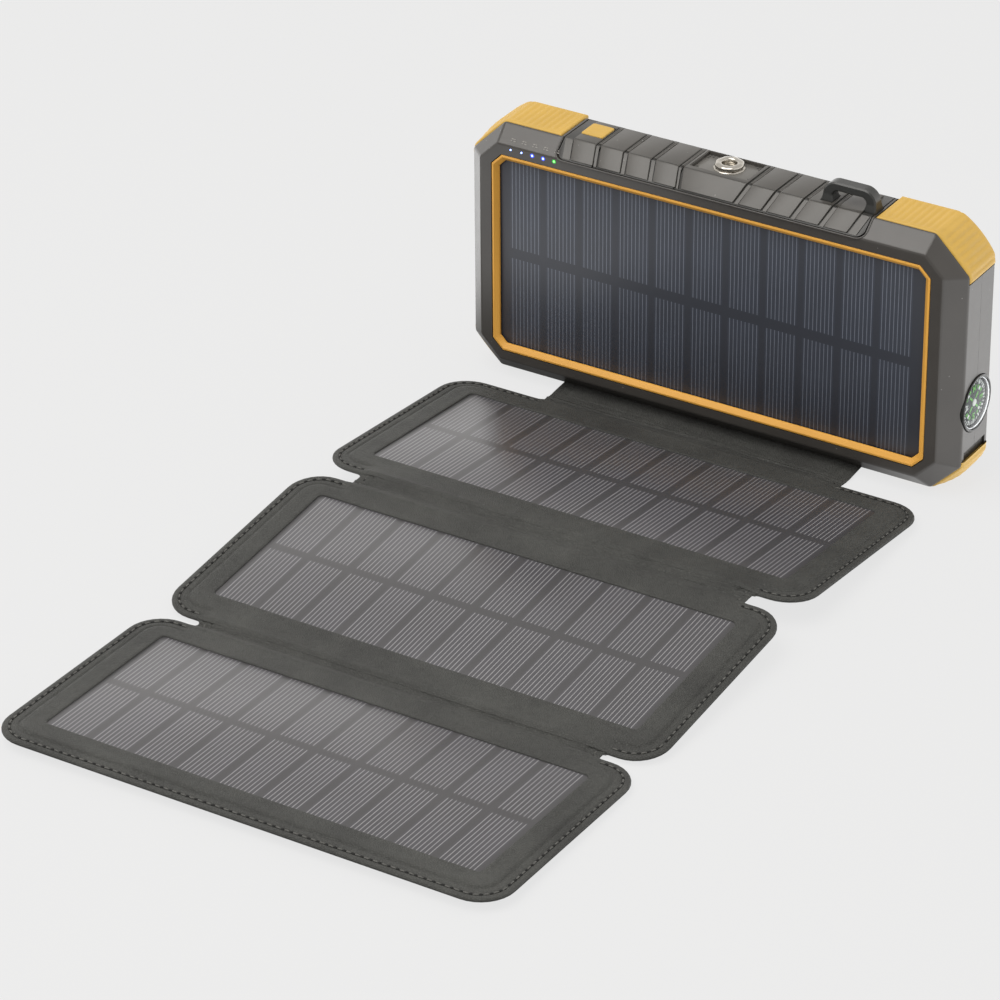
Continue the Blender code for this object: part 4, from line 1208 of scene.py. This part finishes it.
class Panel:
    """Where a folio panel lies: s runs from its back edge towards -Y, h up from its face.

    back and top are its back edge and face from its joint. folds are the half widths of the folds
    at its two edges.
    """

    def __init__(self, number, joint, pitch, back, top, *folds):
        self.name = f"panel_{number}"
        self.origin = joint_yz(joint)
        self.pitch = pitch
        self.back = back
        self.top = top
        self.folds = folds

    def at(self, x, s, h):
        y, z = self.origin
        reach, lift = self.back + s, self.top + h
        cos, sin = math.cos(self.pitch), math.sin(self.pitch)
        return (x, y - reach * cos + lift * sin, z + reach * sin + lift * cos)

    def edge(self, front):
        """(top, bottom) of an edge, each in (y, z)."""
        s = PANEL_L if front else 0.0
        return self.at(0, s, 0)[1:], self.at(0, s, -PANEL_T)[1:]

    def swell(self, x, s, strength):
        """The leather's wrinkles over the panel."""
        return wrinkle(x, self.at(x, s, 0)[1], strength) - 0.06


PANELS = [
    Panel(1, "cover_fold", RIDGE, 2.69, 0.0, FOLD_A[0], FOLD_B[0]),
    Panel(2, "outer_fold", -RIDGE, 0.0, PANEL_T / 2, FOLD_B[0], FOLD_C[0]),
    Panel(3, "last_fold", LAST, 1.1, -0.15, FOLD_C[0], 0.0),
]


def wrinkle(x, y, strength=1.0):
    """Soft creases along X, the same wherever two pieces meet."""
    slow = noise.noise(Vector((x * 0.018, y * 0.11, 3.0)))
    quick = noise.noise(Vector((x * 0.06, y * 0.3, 9.0)))
    return strength * (0.14 * slow + 0.06 * quick)


def creases(x, y):
    """Sharper creases along X, for the folds."""
    bent = y + 1.6 * noise.noise(Vector((x * 0.022, 5.0, y * 0.05)))
    ridge = 1 - abs(noise.noise(Vector((x * 0.012, bent * 0.42, 1.0)))) * 3.2
    fine = noise.noise(Vector((x * 0.09, bent * 0.8, 7.0)))
    return 0.55 * max(0.0, ridge) + 0.12 * fine - 0.2


def edge_heights(inset):
    """(drop of the top, rise of the bottom) at an inset from a free edge."""
    for (a, top_a, low_a), (b, top_b, low_b) in zip(EDGE, EDGE[1:]):
        if inset <= b:
            t = (inset - a) / (b - a)
            return top_a + (top_b - top_a) * t, low_a + (low_b - low_a) * t
    return 0.0, 0.0


def joined_share(panel, x, s, inset):
    """1 where the panel runs on into a fold, 0 at its free edges."""
    if s < inset + 0.4:
        half = panel.folds[0]
    elif s > PANEL_L - inset - 0.4:
        half = panel.folds[1]
    else:
        return 0.0
    return 1 - ease(half - 3.4 + 0.5 * inset, half + 0.6, abs(x)) if half else 0.0


def leather_ring(panel, inset, drop, under):
    """One ring of points round a panel's leather, at an inset from its edge."""
    size = (PANEL_W - 2 * inset, PANEL_L - 2 * inset)
    points = []
    for x, s in rounded_box(*size, max(PANEL_RADIUS - inset, 3.0), PANEL_MIDDLE):
        share = joined_share(panel, x, s, inset)
        if under:
            h = -PANEL_T + drop * (1 - share)
        else:
            h = -0.04 - drop * (1 - share) - FOLD_STEP * share * (1 - ease(0.0, 1.3, inset))
            h += 0.14 * share * math.exp(-(((inset - 1.9) / 0.7) ** 2))
            h += panel.swell(x, s, ease(0.5, 5, inset) * (1 - share) + share)
        points.append(panel.at(x, s, h))
    return points


def build_panel_leather(panel):
    rings = [leather_ring(panel, inset, low, True) for inset, _, low in reversed(EDGE)]
    rings.append(leather_ring(panel, 0.22, PANEL_T / 2, True))
    rings += [leather_ring(panel, inset, top, False) for inset, top, _ in EDGE]
    # across to the window, then down round its lip
    inset = 2 * EDGE[-1][0]
    outer = rounded_box(PANEL_W - inset, PANEL_L - inset, 4.6, PANEL_MIDDLE)
    lip = rounded_box(WINDOW_W, WINDOW_L, 1.6, WINDOW_MIDDLE)
    across = (
        (0.3, 0.05), (0.55, 0.04), (0.75, 0.02), (0.88, 0.04), (0.95, 0.1), (0.985, 0.22), (1.0, 0.4),
    )
    for share, drop in across:
        points = []
        for (x0, s0), (x1, s1) in zip(outer, lip):
            x, s = x0 + (x1 - x0) * share, s0 + (s1 - s0) * share
            swell = panel.swell(x, s, 1 - ease(0.5, 1.0, share))
            points.append(panel.at(x, s, -0.04 - drop + swell * (1 - ease(0.4, 1.0, share))))
        rings.append(points)
    for grow, drop in ((0.0, 0.75), (0.8, 0.78), (0.8, 1.5)):
        size = (WINDOW_W + 2 * grow, WINDOW_L + 2 * grow)
        loop = rounded_box(*size, 1.6 + grow, WINDOW_MIDDLE)
        rings.append([panel.at(x, s, -drop) for x, s in loop])
    name = panel.name
    hide = make(f"{name}_leather", *skin(rings), LEATHER, 50)
    settled_piece(hide, name, "leatherette", f"{name}_frame", f"{name}_backing", f"{name}_board")


def build_panel_cells(panel):
    loops = []
    for grow, h in ((0.6, -1.3), (0.6, -0.55), (0.5, -0.5)):
        size = (WINDOW_W + 2 * grow, WINDOW_L + 2 * grow)
        outline = rounded_box(*size, 1.5, WINDOW_MIDDLE, 3, 2, 2)
        loops.append([panel.at(x, s, h) for x, s in outline])
    low = panel.at(0, WINDOW_BACK, 0)[1]
    high = panel.at(0, WINDOW_BACK + WINDOW_L, 0)[1]

    def area(point):
        return (point.x + 72.6) / 145.2, (point.y - low) / (high - low)

    name = panel.name
    settled_piece(cells(f"{name}_cells", loops, FOLIO_CELLS, area), name, "solar", f"{name}_solar")


def stitch(centre, along, up, length=1.75, width=0.56):
    """(points, faces) of one stitch lying on a surface."""
    side = along.cross(up).normalized()
    ends = ((-1.0, 0.35), (-0.86, 0.75), (-0.4, 1.0), (0.4, 1.0), (0.86, 0.75), (1.0, 0.35))
    rings = []
    for share, fat in ends:
        lift = 0.16 * (1 - share * share)
        ring = []
        for step in range(6):
            angle = 2 * math.pi * step / 6
            p = centre + along * share * length / 2 + up * (lift - 0.05)
            out = side * math.cos(angle) * width / 2 * fat
            ring.append(tuple(p + (out + up * math.sin(angle) * width / 2 * fat * 0.7)))
        rings.append(ring)
    return skin(rings)


def stitch_row(path, up, pitch=2.9):
    """(stitches, dark discs of painted shade at the needle holes) along a list of points, at an even pitch."""
    threads, holes = [], []
    gone, due, thread = 0.0, pitch / 2, True
    for a, b in zip(path, path[1:]):
        a, b = Vector(a), Vector(b)
        length = (b - a).length
        while due <= gone + length and length > 1e-6:
            spot, along = a + (b - a) * ((due - gone) / length), (b - a).normalized()
            if thread:
                threads.append(stitch(spot, along, up))
            else:
                # a flat dark disc between stitches: painted shade for a needle hole
                holes.append(stitch(spot - up * 0.04, along, up, 1.1, 0.8))
            thread = not thread
            due += pitch / 2
        gone += length
    return threads, holes


def sewn(body, word, threads, holes):
    """A body's stitches and the painted shade of their needle holes, as two pieces."""
    settled_piece(make(f"{body}_stitches_{word}", *merge(threads), THREAD, 60), body, "leatherette")
    settled_piece(make(f"{body}_holes_{word}", *merge(holes), HOLE_SHADE, 60), body, "leatherette")


def build_panel_stitches(panel):
    up = Vector((0, math.sin(panel.pitch), math.cos(panel.pitch)))
    size = (PANEL_W - 2 * STITCH_INSET, PANEL_L - 2 * STITCH_INSET)
    outline = rounded_box(*size, PANEL_RADIUS - STITCH_INSET, PANEL_MIDDLE)
    outline.append(outline[0])
    for word, height, normal in (("top", -0.74, up), ("back", -PANEL_T + 0.66, -up)):
        threads, holes, run = [], [], []
        for x, s in outline:
            half = 0
            if s < STITCH_INSET + 0.1:
                half = panel.folds[0]
            elif s > PANEL_L - STITCH_INSET - 0.1:
                half = panel.folds[1]
            if half and abs(x) < half - STITCH_INSET + 0.4:
                more, hole_shades = stitch_row(run, normal)
                threads, holes, run = threads + more, holes + hole_shades, []
                continue
            run.append(panel.at(x, s, height))
        more, hole_shades = stitch_row(run, normal)
        sewn(panel.name, word, threads + more, holes + hole_shades)


# across a fold: insets from one free edge, then shares of the middle, then insets from the other
FOLD_COLUMNS = [(-1, inset) for inset, _, _ in EDGE]
FOLD_COLUMNS += [(0, -1 + 2 * step / 36) for step in range(1, 36)]
FOLD_COLUMNS += [(1, inset) for inset, _, _ in reversed(EDGE)]
FILLET = 0.9  # of a fold's free edge where it meets a panel


def between(a, b, share):
    return tuple(i + (j - i) * share for i, j in zip(a, b))


def humped(v):
    """How far a fold sags at a share of its length."""
    return math.sin(math.pi * v) ** 0.7 if 0 < v < 1 else 0.0


def fold_grids(edge_a, edge_b, half, sag, lift, rows=20, ends=(1, 1), creased=True):
    """Top and bottom grids of the leather between two edges, each given as (top, bottom).

    ends holds a 1 for an end that meets a panel, and a 0 for one that runs on.
    """
    (top_a, low_a), (top_b, low_b) = edge_a, edge_b
    length = math.hypot(top_b[0] - top_a[0], top_b[1] - top_a[1])
    top, bottom = [], []
    for row in range(rows + 1):
        v = row / rows
        hump = humped(v)
        y, z = between(top_a, top_b, v)
        z -= 0.1 + sag * hump + FOLD_STEP * min(1, ends[0] * (1 - v) + ends[1] * v)
        under_y, under_z = between(low_a, low_b, v)
        under_z += lift * hump
        scale = (z - under_z) / PANEL_T
        wide = half
        for near, meets in ((v * length, ends[0]), ((1 - v) * length, ends[1])):
            if near < FILLET and meets:
                wide += FILLET - math.sqrt(max(0.0, FILLET**2 - (FILLET - near) ** 2))
        line_top, line_low = [], []
        for side, value in FOLD_COLUMNS:
            x = side * (wide - value) if side else value * (wide - EDGE[-1][0])
            drop, rise = edge_heights(value) if side else (0.0, 0.0)
            crumple = wrinkle(x, y) + (creases(x, y) * hump if creased else 0.0)
            line_top.append((x, y, z - drop * scale + crumple))
            line_low.append((x, under_y, under_z + rise * scale))
        top.append(line_top)
        bottom.append(line_low)
    return top, bottom


def blended(piece, body_a, body_b, start, end, *nodes):
    """Lets a piece of leather bend from one body to another, between two points in (y, z)."""
    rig.blend(piece, body_a, body_b, *((0, y * MM, z * MM) for y, z in (start, end)))
    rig.slot(piece, "leatherette")
    if nodes:
        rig.replaces(piece, *nodes)


def bending(name, grids, material, *blend):
    blended(make(name, *slab(*grids), material, 50), *blend)


def fold_stitches(name, edge_a, edge_b, fold, low, high, *blend):
    """Stitches down both free edges of a fold, over the share of it from low to high."""
    half, sag = fold
    threads, holes = [], []
    for side in (-1, 1):
        path = []
        for step in range(9):
            v = low + (high - low) * step / 8
            y, z = between(edge_a[0], edge_b[0], v)
            z += -0.1 - FOLD_STEP - sag * humped(v) - 0.45
            path.append((side * (half - STITCH_INSET), y, z))
        more, hole_shades = stitch_row(path, Vector((0, 0, 1)), 2.4)
        threads, holes = threads + more, holes + hole_shades
    # the holes are dark discs of painted shade
    for word, parts, look in (("stitches", threads, THREAD), ("holes", holes, HOLE_SHADE)):
        blended(make(f"{name}_{word}", *merge(parts), look, 60), *blend)


def build_folds():
    one, two, three = PANELS
    inner, outer, last = joint_yz("inner_fold"), joint_yz("outer_fold"), joint_yz("last_fold")
    base, cover = joint_yz("base_fold"), joint_yz("cover_fold")
    middle = (inner[0] + outer[0]) / 2
    spine_edges = one.edge(True), two.edge(False)
    last_edges = two.edge(True), three.edge(False)
    turn_y = BANK_Y - 1.4
    cover_edges = ((turn_y, 1.25), (turn_y, 0.3)), one.edge(False)
    # where each bend starts and ends
    near = inner[0] + 0.5, middle + 0.9
    far = middle - 0.9, outer[0] - 0.5
    front = last_edges[0][0][0], last_edges[1][0][0]
    rear = cover[0] + 3.4, cover_edges[1][0][0] + 0.2

    def at(bend, z):
        return [(y, z) for y in bend]

    # over the spine, split at its middle
    top, bottom = fold_grids(*spine_edges, *FOLD_B, 0.9)
    half = len(top) // 2
    grids = top[: half + 1], bottom[: half + 1]
    bending("fold_b_near", grids, LEATHER, "panel_1", "spine", *at(near, inner[1]))
    grids = top[half:], bottom[half:]
    bending("fold_b_far", grids, LEATHER, "spine", "panel_2", *at(far, outer[1]), "spine_strip")
    grids = fold_grids(*last_edges, *FOLD_C, 0.6)
    bending("fold_c", grids, LEATHER, "panel_2", "panel_3", *at(front, last[1]), "fold_strip")
    grids = fold_grids(*cover_edges, *FOLD_A, 0.0, ends=(0, 1))
    bending("fold_a", grids, LEATHER, "strip_a", "panel_1", *at(rear, cover[1]), "strip_a")
    # from the clamp under the bank to the front of its foot
    clamp_y, bend_y = BANK_Y + 9.0, BANK_Y + 6.2
    inside, bend = ((clamp_y, 2.1), (clamp_y, 1.3)), ((bend_y, 1.9), (bend_y, 1.0))
    flat = {"ends": (0, 0), "creased": False}
    first = fold_grids(inside, bend, FOLD_A[0], 0.0, 0.0, 4, **flat)
    second = fold_grids(bend, cover_edges[0], FOLD_A[0], 0.0, 0.0, 10, **flat)
    grids = first[0][:-1] + second[0], first[1][:-1] + second[1]
    foot = base[0] + 1.6, base[0] - 1.6
    bending("fold_foot", grids, LEATHER, "power_bank", "strip_a", *at(foot, base[1]))
    rows = (
        ("fold_a", cover_edges, FOLD_A, 0.0, 1.0, "strip_a", "panel_1", rear),
        ("fold_c", last_edges, FOLD_C, 0.0, 1.0, "panel_2", "panel_3", front),
        ("fold_b_near", spine_edges, FOLD_B, 0.0, 0.5, "panel_1", "spine", near),
        ("fold_b_far", spine_edges, FOLD_B, 0.5, 1.0, "spine", "panel_2", far),
    )
    for name, edges, fold, low, high, body_a, body_b, bend in rows:
        fold_stitches(name, *edges, fold, low, high, body_a, body_b, *at(bend, 0))


def build_strap():
    """The closing strap, from its patch on panel 1's back round the spine to its snap."""
    one = PANELS[0]
    half, pitch, stitches = 9.0, STRAP_PITCH, 2.6
    patch_middle = (0, PANEL_L - 9.2)
    patch = []
    for inset, h in ((0.8, -3.0), (0.0, -3.05), (0.0, -3.6), (0.4, -3.8)):
        outline = rounded_box(24 - 2 * inset, 16 - 2 * inset, 2.0, patch_middle, 4, 8, 6)
        patch.append([one.at(x, s, h) for x, s in outline])
    anchor = make("strap_patch", *skin(patch), LEATHER_BACK, 45)
    settled_piece(anchor, "panel_1", "leatherette", "strap_anchor")
    path = rounded_box(21.4, 13.4, 1.6, patch_middle, 4, 8, 6)
    path.append(path[0])
    down = -Vector((0, math.sin(one.pitch), math.cos(one.pitch)))
    sewn("panel_1", "patch", *stitch_row([one.at(x, s, -3.78) for x, s in path], down, stitches))
    pivot = joint_yz("strap_fold")

    def place(x, s, h):
        y = pivot[0] - s * math.cos(pitch) + h * math.sin(pitch)
        return (x, y, pivot[1] - s * math.sin(pitch) + h * math.cos(pitch))

    # a tongue with a round end
    end = 27.0 - half
    outline = [(-half, 0.4)]
    for step in range(13):
        angle = math.pi * step / 12
        outline.append((-half * math.cos(angle), end + half * math.sin(angle)))
    outline.append((half, 0.4))

    def tongue_ring(k, h):
        return [place(x * k, s if s < 1 else end + (s - end) * k, h) for x, s in outline]

    section = ((0.7, -0.6), (0.15, -0.5), (0.0, -0.2), (0.0, 0.2), (0.15, 0.5), (0.7, 0.6))
    rings = [tongue_ring(1 - inset / half, h) for inset, h in section]
    tongue = make("strap_tongue", *skin(rings), LEATHER_BACK, 45)
    settled_piece(tongue, "closure_strap", "leatherette", "closure_strap")
    down = -Vector((0, math.sin(pitch), math.cos(pitch)))
    sewn("closure_strap", "edge", *stitch_row(tongue_ring(0.8, -0.62), down, stitches))
    # its two bends over the spine
    inner, outer = joint_yz("inner_fold"), joint_yz("outer_fold")
    middle = (inner[0] + outer[0]) / 2
    under = inner[1] - 1.0

    def ribbon(start, stop):
        stations = [between(start, stop, step / 8) for step in range(9)]
        across = (-half, -half + 0.4, 0, half - 0.4, half)
        return [[[(x, y, z + h) for x in across] for y, z in stations] for h in (0.4, -0.4)]

    _, y, z = one.at(0, PANEL_L - 1.6, -3.1)
    top = (middle + 0.3, under - 0.4)
    bending("strap_bend_near", ribbon((y, z - 0.45), top), LEATHER_BACK,
            "panel_1", "spine", (inner[0] + 0.6, under), (middle + 0.8, under))
    bending("strap_bend_far", ribbon(top, place(0, 0.6, 0)[1:]), LEATHER_BACK,
            "spine", "closure_strap", (pivot[0] + 0.9, under), (pivot[0] - 0.5, under))


# ---------------------------------------------------------------- the frame's own pieces


def finish_nodes():
    """Gives every frame node that stays in the render a look."""
    looks = {
        "clamp_plate": BLACK, "hinge_flap": LEATHER_BACK, "battery_pad": FOAM,
        "circuit_board": PCB, "button_switch": BLACK, "compass_pivot": STEEL, "snap_cap": STEEL,
        "snap_socket": STEEL, "usb_a_shell": STEEL, "usb_c_shell": STEEL, "usb_a_tongue": BLACK,
        "usb_c_tongue": BLACK, "battery_cell_1": FOIL, "battery_cell_2": FOIL,
    }
    for name, node in frame["nodes"].items():
        if node.hide_render:
            continue
        node.data.materials.clear()
        node.data.materials.append(SCREW if "screw" in name else looks[name])
        if name.startswith("snap_") or "screw" in name:
            smoothed(node.data, 35)


build_housing()
build_ring()
build_bank_panel()
build_bumpers()
build_rim()
build_strip()
build_button()
build_stud()
build_loop()
build_lamps()
build_compass()
for panel in PANELS:
    build_panel_leather(panel)
    build_panel_cells(panel)
    build_panel_stitches(panel)
build_folds()
build_strap()
finish_nodes()

# ---------------------------------------------------------------- studio


def studio_light():
    """One large soft light, above and in front of the object, to the left."""
    place, target = Vector((-0.3, -0.53, 1.23)), Vector((0, 0.02, 0.05))
    data = bpy.data.lights.new("overhead", "AREA")
    data.shape = "RECTANGLE"
    data.size = data.size_y = 1.3
    data.energy = 20.5
    data.color = (1, 0.98, 0.95)
    made = bpy.data.objects.new("overhead", data)
    made.location = place
    made.rotation_euler = (target - place).to_track_quat("-Z", "Y").to_euler()
    bpy.context.scene.collection.objects.link(made)


def studio_world():
    """A pale backdrop that lights the object more strongly than it shows.

    Its light is dimmer from the front and overhead, and stronger from the right.
    """
    lit, shown = 1.2, 0.83
    world = bpy.data.worlds.new("studio")
    bpy.context.scene.world = world
    world.use_nodes = True
    nodes, links = world.node_tree.nodes, world.node_tree.links

    def fade(source, start, end, before, after):
        made = nodes.new("ShaderNodeMapRange")
        for socket, value in ((1, start), (2, end), (3, before), (4, after)):
            made.inputs[socket].default_value = value
        links.new(source, made.inputs[0])
        return made.outputs[0]

    split = nodes.new("ShaderNodeSeparateXYZ")
    links.new(nodes.new("ShaderNodeTexCoord").outputs["Generated"], split.inputs[0])
    strength = nodes.new("ShaderNodeMath")
    strength.operation = "MULTIPLY"
    links.new(fade(split.outputs[1], -0.8, 0.0, 0.38 * lit, lit), strength.inputs[0])
    links.new(fade(split.outputs[2], 0.36, 0.5, 1.0, 0.7), strength.inputs[1])
    beside = nodes.new("ShaderNodeMath")
    beside.operation = "MULTIPLY"
    links.new(strength.outputs[0], beside.inputs[0])
    links.new(fade(split.outputs[0], 0.3, 0.9, 1.0, 1.3), beside.inputs[1])
    light = nodes["Background"]
    light.inputs[0].default_value = (1.0, 0.985, 0.965, 1)
    links.new(beside.outputs[0], light.inputs[1])
    plate = nodes.new("ShaderNodeBackground")
    plate.inputs[0].default_value = (1, 1, 1, 1)
    plate.inputs[1].default_value = shown
    mix = nodes.new("ShaderNodeMixShader")
    links.new(nodes.new("ShaderNodeLightPath").outputs["Is Camera Ray"], mix.inputs[0])
    links.new(light.outputs[0], mix.inputs[1])
    links.new(plate.outputs[0], mix.inputs[2])
    links.new(mix.outputs[0], nodes["World Output"].inputs[0])


def studio_floor():
    """A pale floor, evenly pale to the camera. It lights the object from below, mostly from behind."""
    shown, front, rear = 0.745, 0.5, 1.85
    look = Look("floor", (0.06,) * 3, 0.9, Specular_IOR_Level=0.0)
    look.set("Emission Color", (1, 1, 1, 1))
    seen = look.node("ShaderNodeLightPath").outputs["Is Camera Ray"]
    split = look.node("ShaderNodeSeparateXYZ", {0: look.place()})
    x, y = split.outputs[0], split.outputs[1]
    even = look.fade(y, -0.3, 0.15, front, rear)
    # darker under the left of the bank's front edge
    across = look.fade(x, 0.05, 0.11, 1.0, 0.0)
    off = look.math("ABSOLUTE", look.math("SUBTRACT", y, 0.105))
    shade = look.math("MULTIPLY", across, look.fade(off, 0.02, 0.05, 1.0, 0.0))

    def either(share, a, b):
        return look.node("ShaderNodeMix", {0: share, 2: a, 3: b}, data_type="FLOAT").outputs[0]

    look.link(either(seen, either(shade, even, 0.12), shown), "Emission Strength")
    corners = [(6000 * sx, 6000 * sy, -0.06) for sx, sy in ((-1, -1), (1, -1), (1, 1), (-1, 1))]
    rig.stage(make("floor", corners, [(0, 1, 2, 3)], look.material, 0))


studio_world()
studio_floor()
studio_light()

AZIMUTH, ELEVATION, ROLL = math.radians(31.88), math.radians(29.90), math.radians(-0.39)
TARGET = Vector((-13.86, BANK_Y - 99.02, 20.71)) * MM
DISTANCE = 1.4718
level = math.cos(ELEVATION)
back = Vector((math.sin(AZIMUTH) * level, -math.cos(AZIMUTH) * level, math.sin(ELEVATION)))
camera = bpy.data.objects.new("camera", bpy.data.cameras.new("camera"))
camera.data.lens = 176.3
camera.data.sensor_width = 36
camera.data.clip_end = 100
camera.location = TARGET + back * DISTANCE
right = Vector((math.cos(AZIMUTH), math.sin(AZIMUTH), 0))
upward = back.cross(right)
turned_right = right * math.cos(ROLL) + upward * math.sin(ROLL)
turned_up = back.cross(turned_right)
camera.rotation_euler = Matrix((turned_right, turned_up, back)).transposed().to_euler()
bpy.context.scene.collection.objects.link(camera)
bpy.context.scene.camera = camera
bpy.context.scene.view_settings.view_transform = "Standard"

with open("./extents.json", "w") as record:
    boxes = {"cad": [list(p) for p in cad_box], "visual": [list(p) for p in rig.bounds()]}
    json.dump(boxes, record)
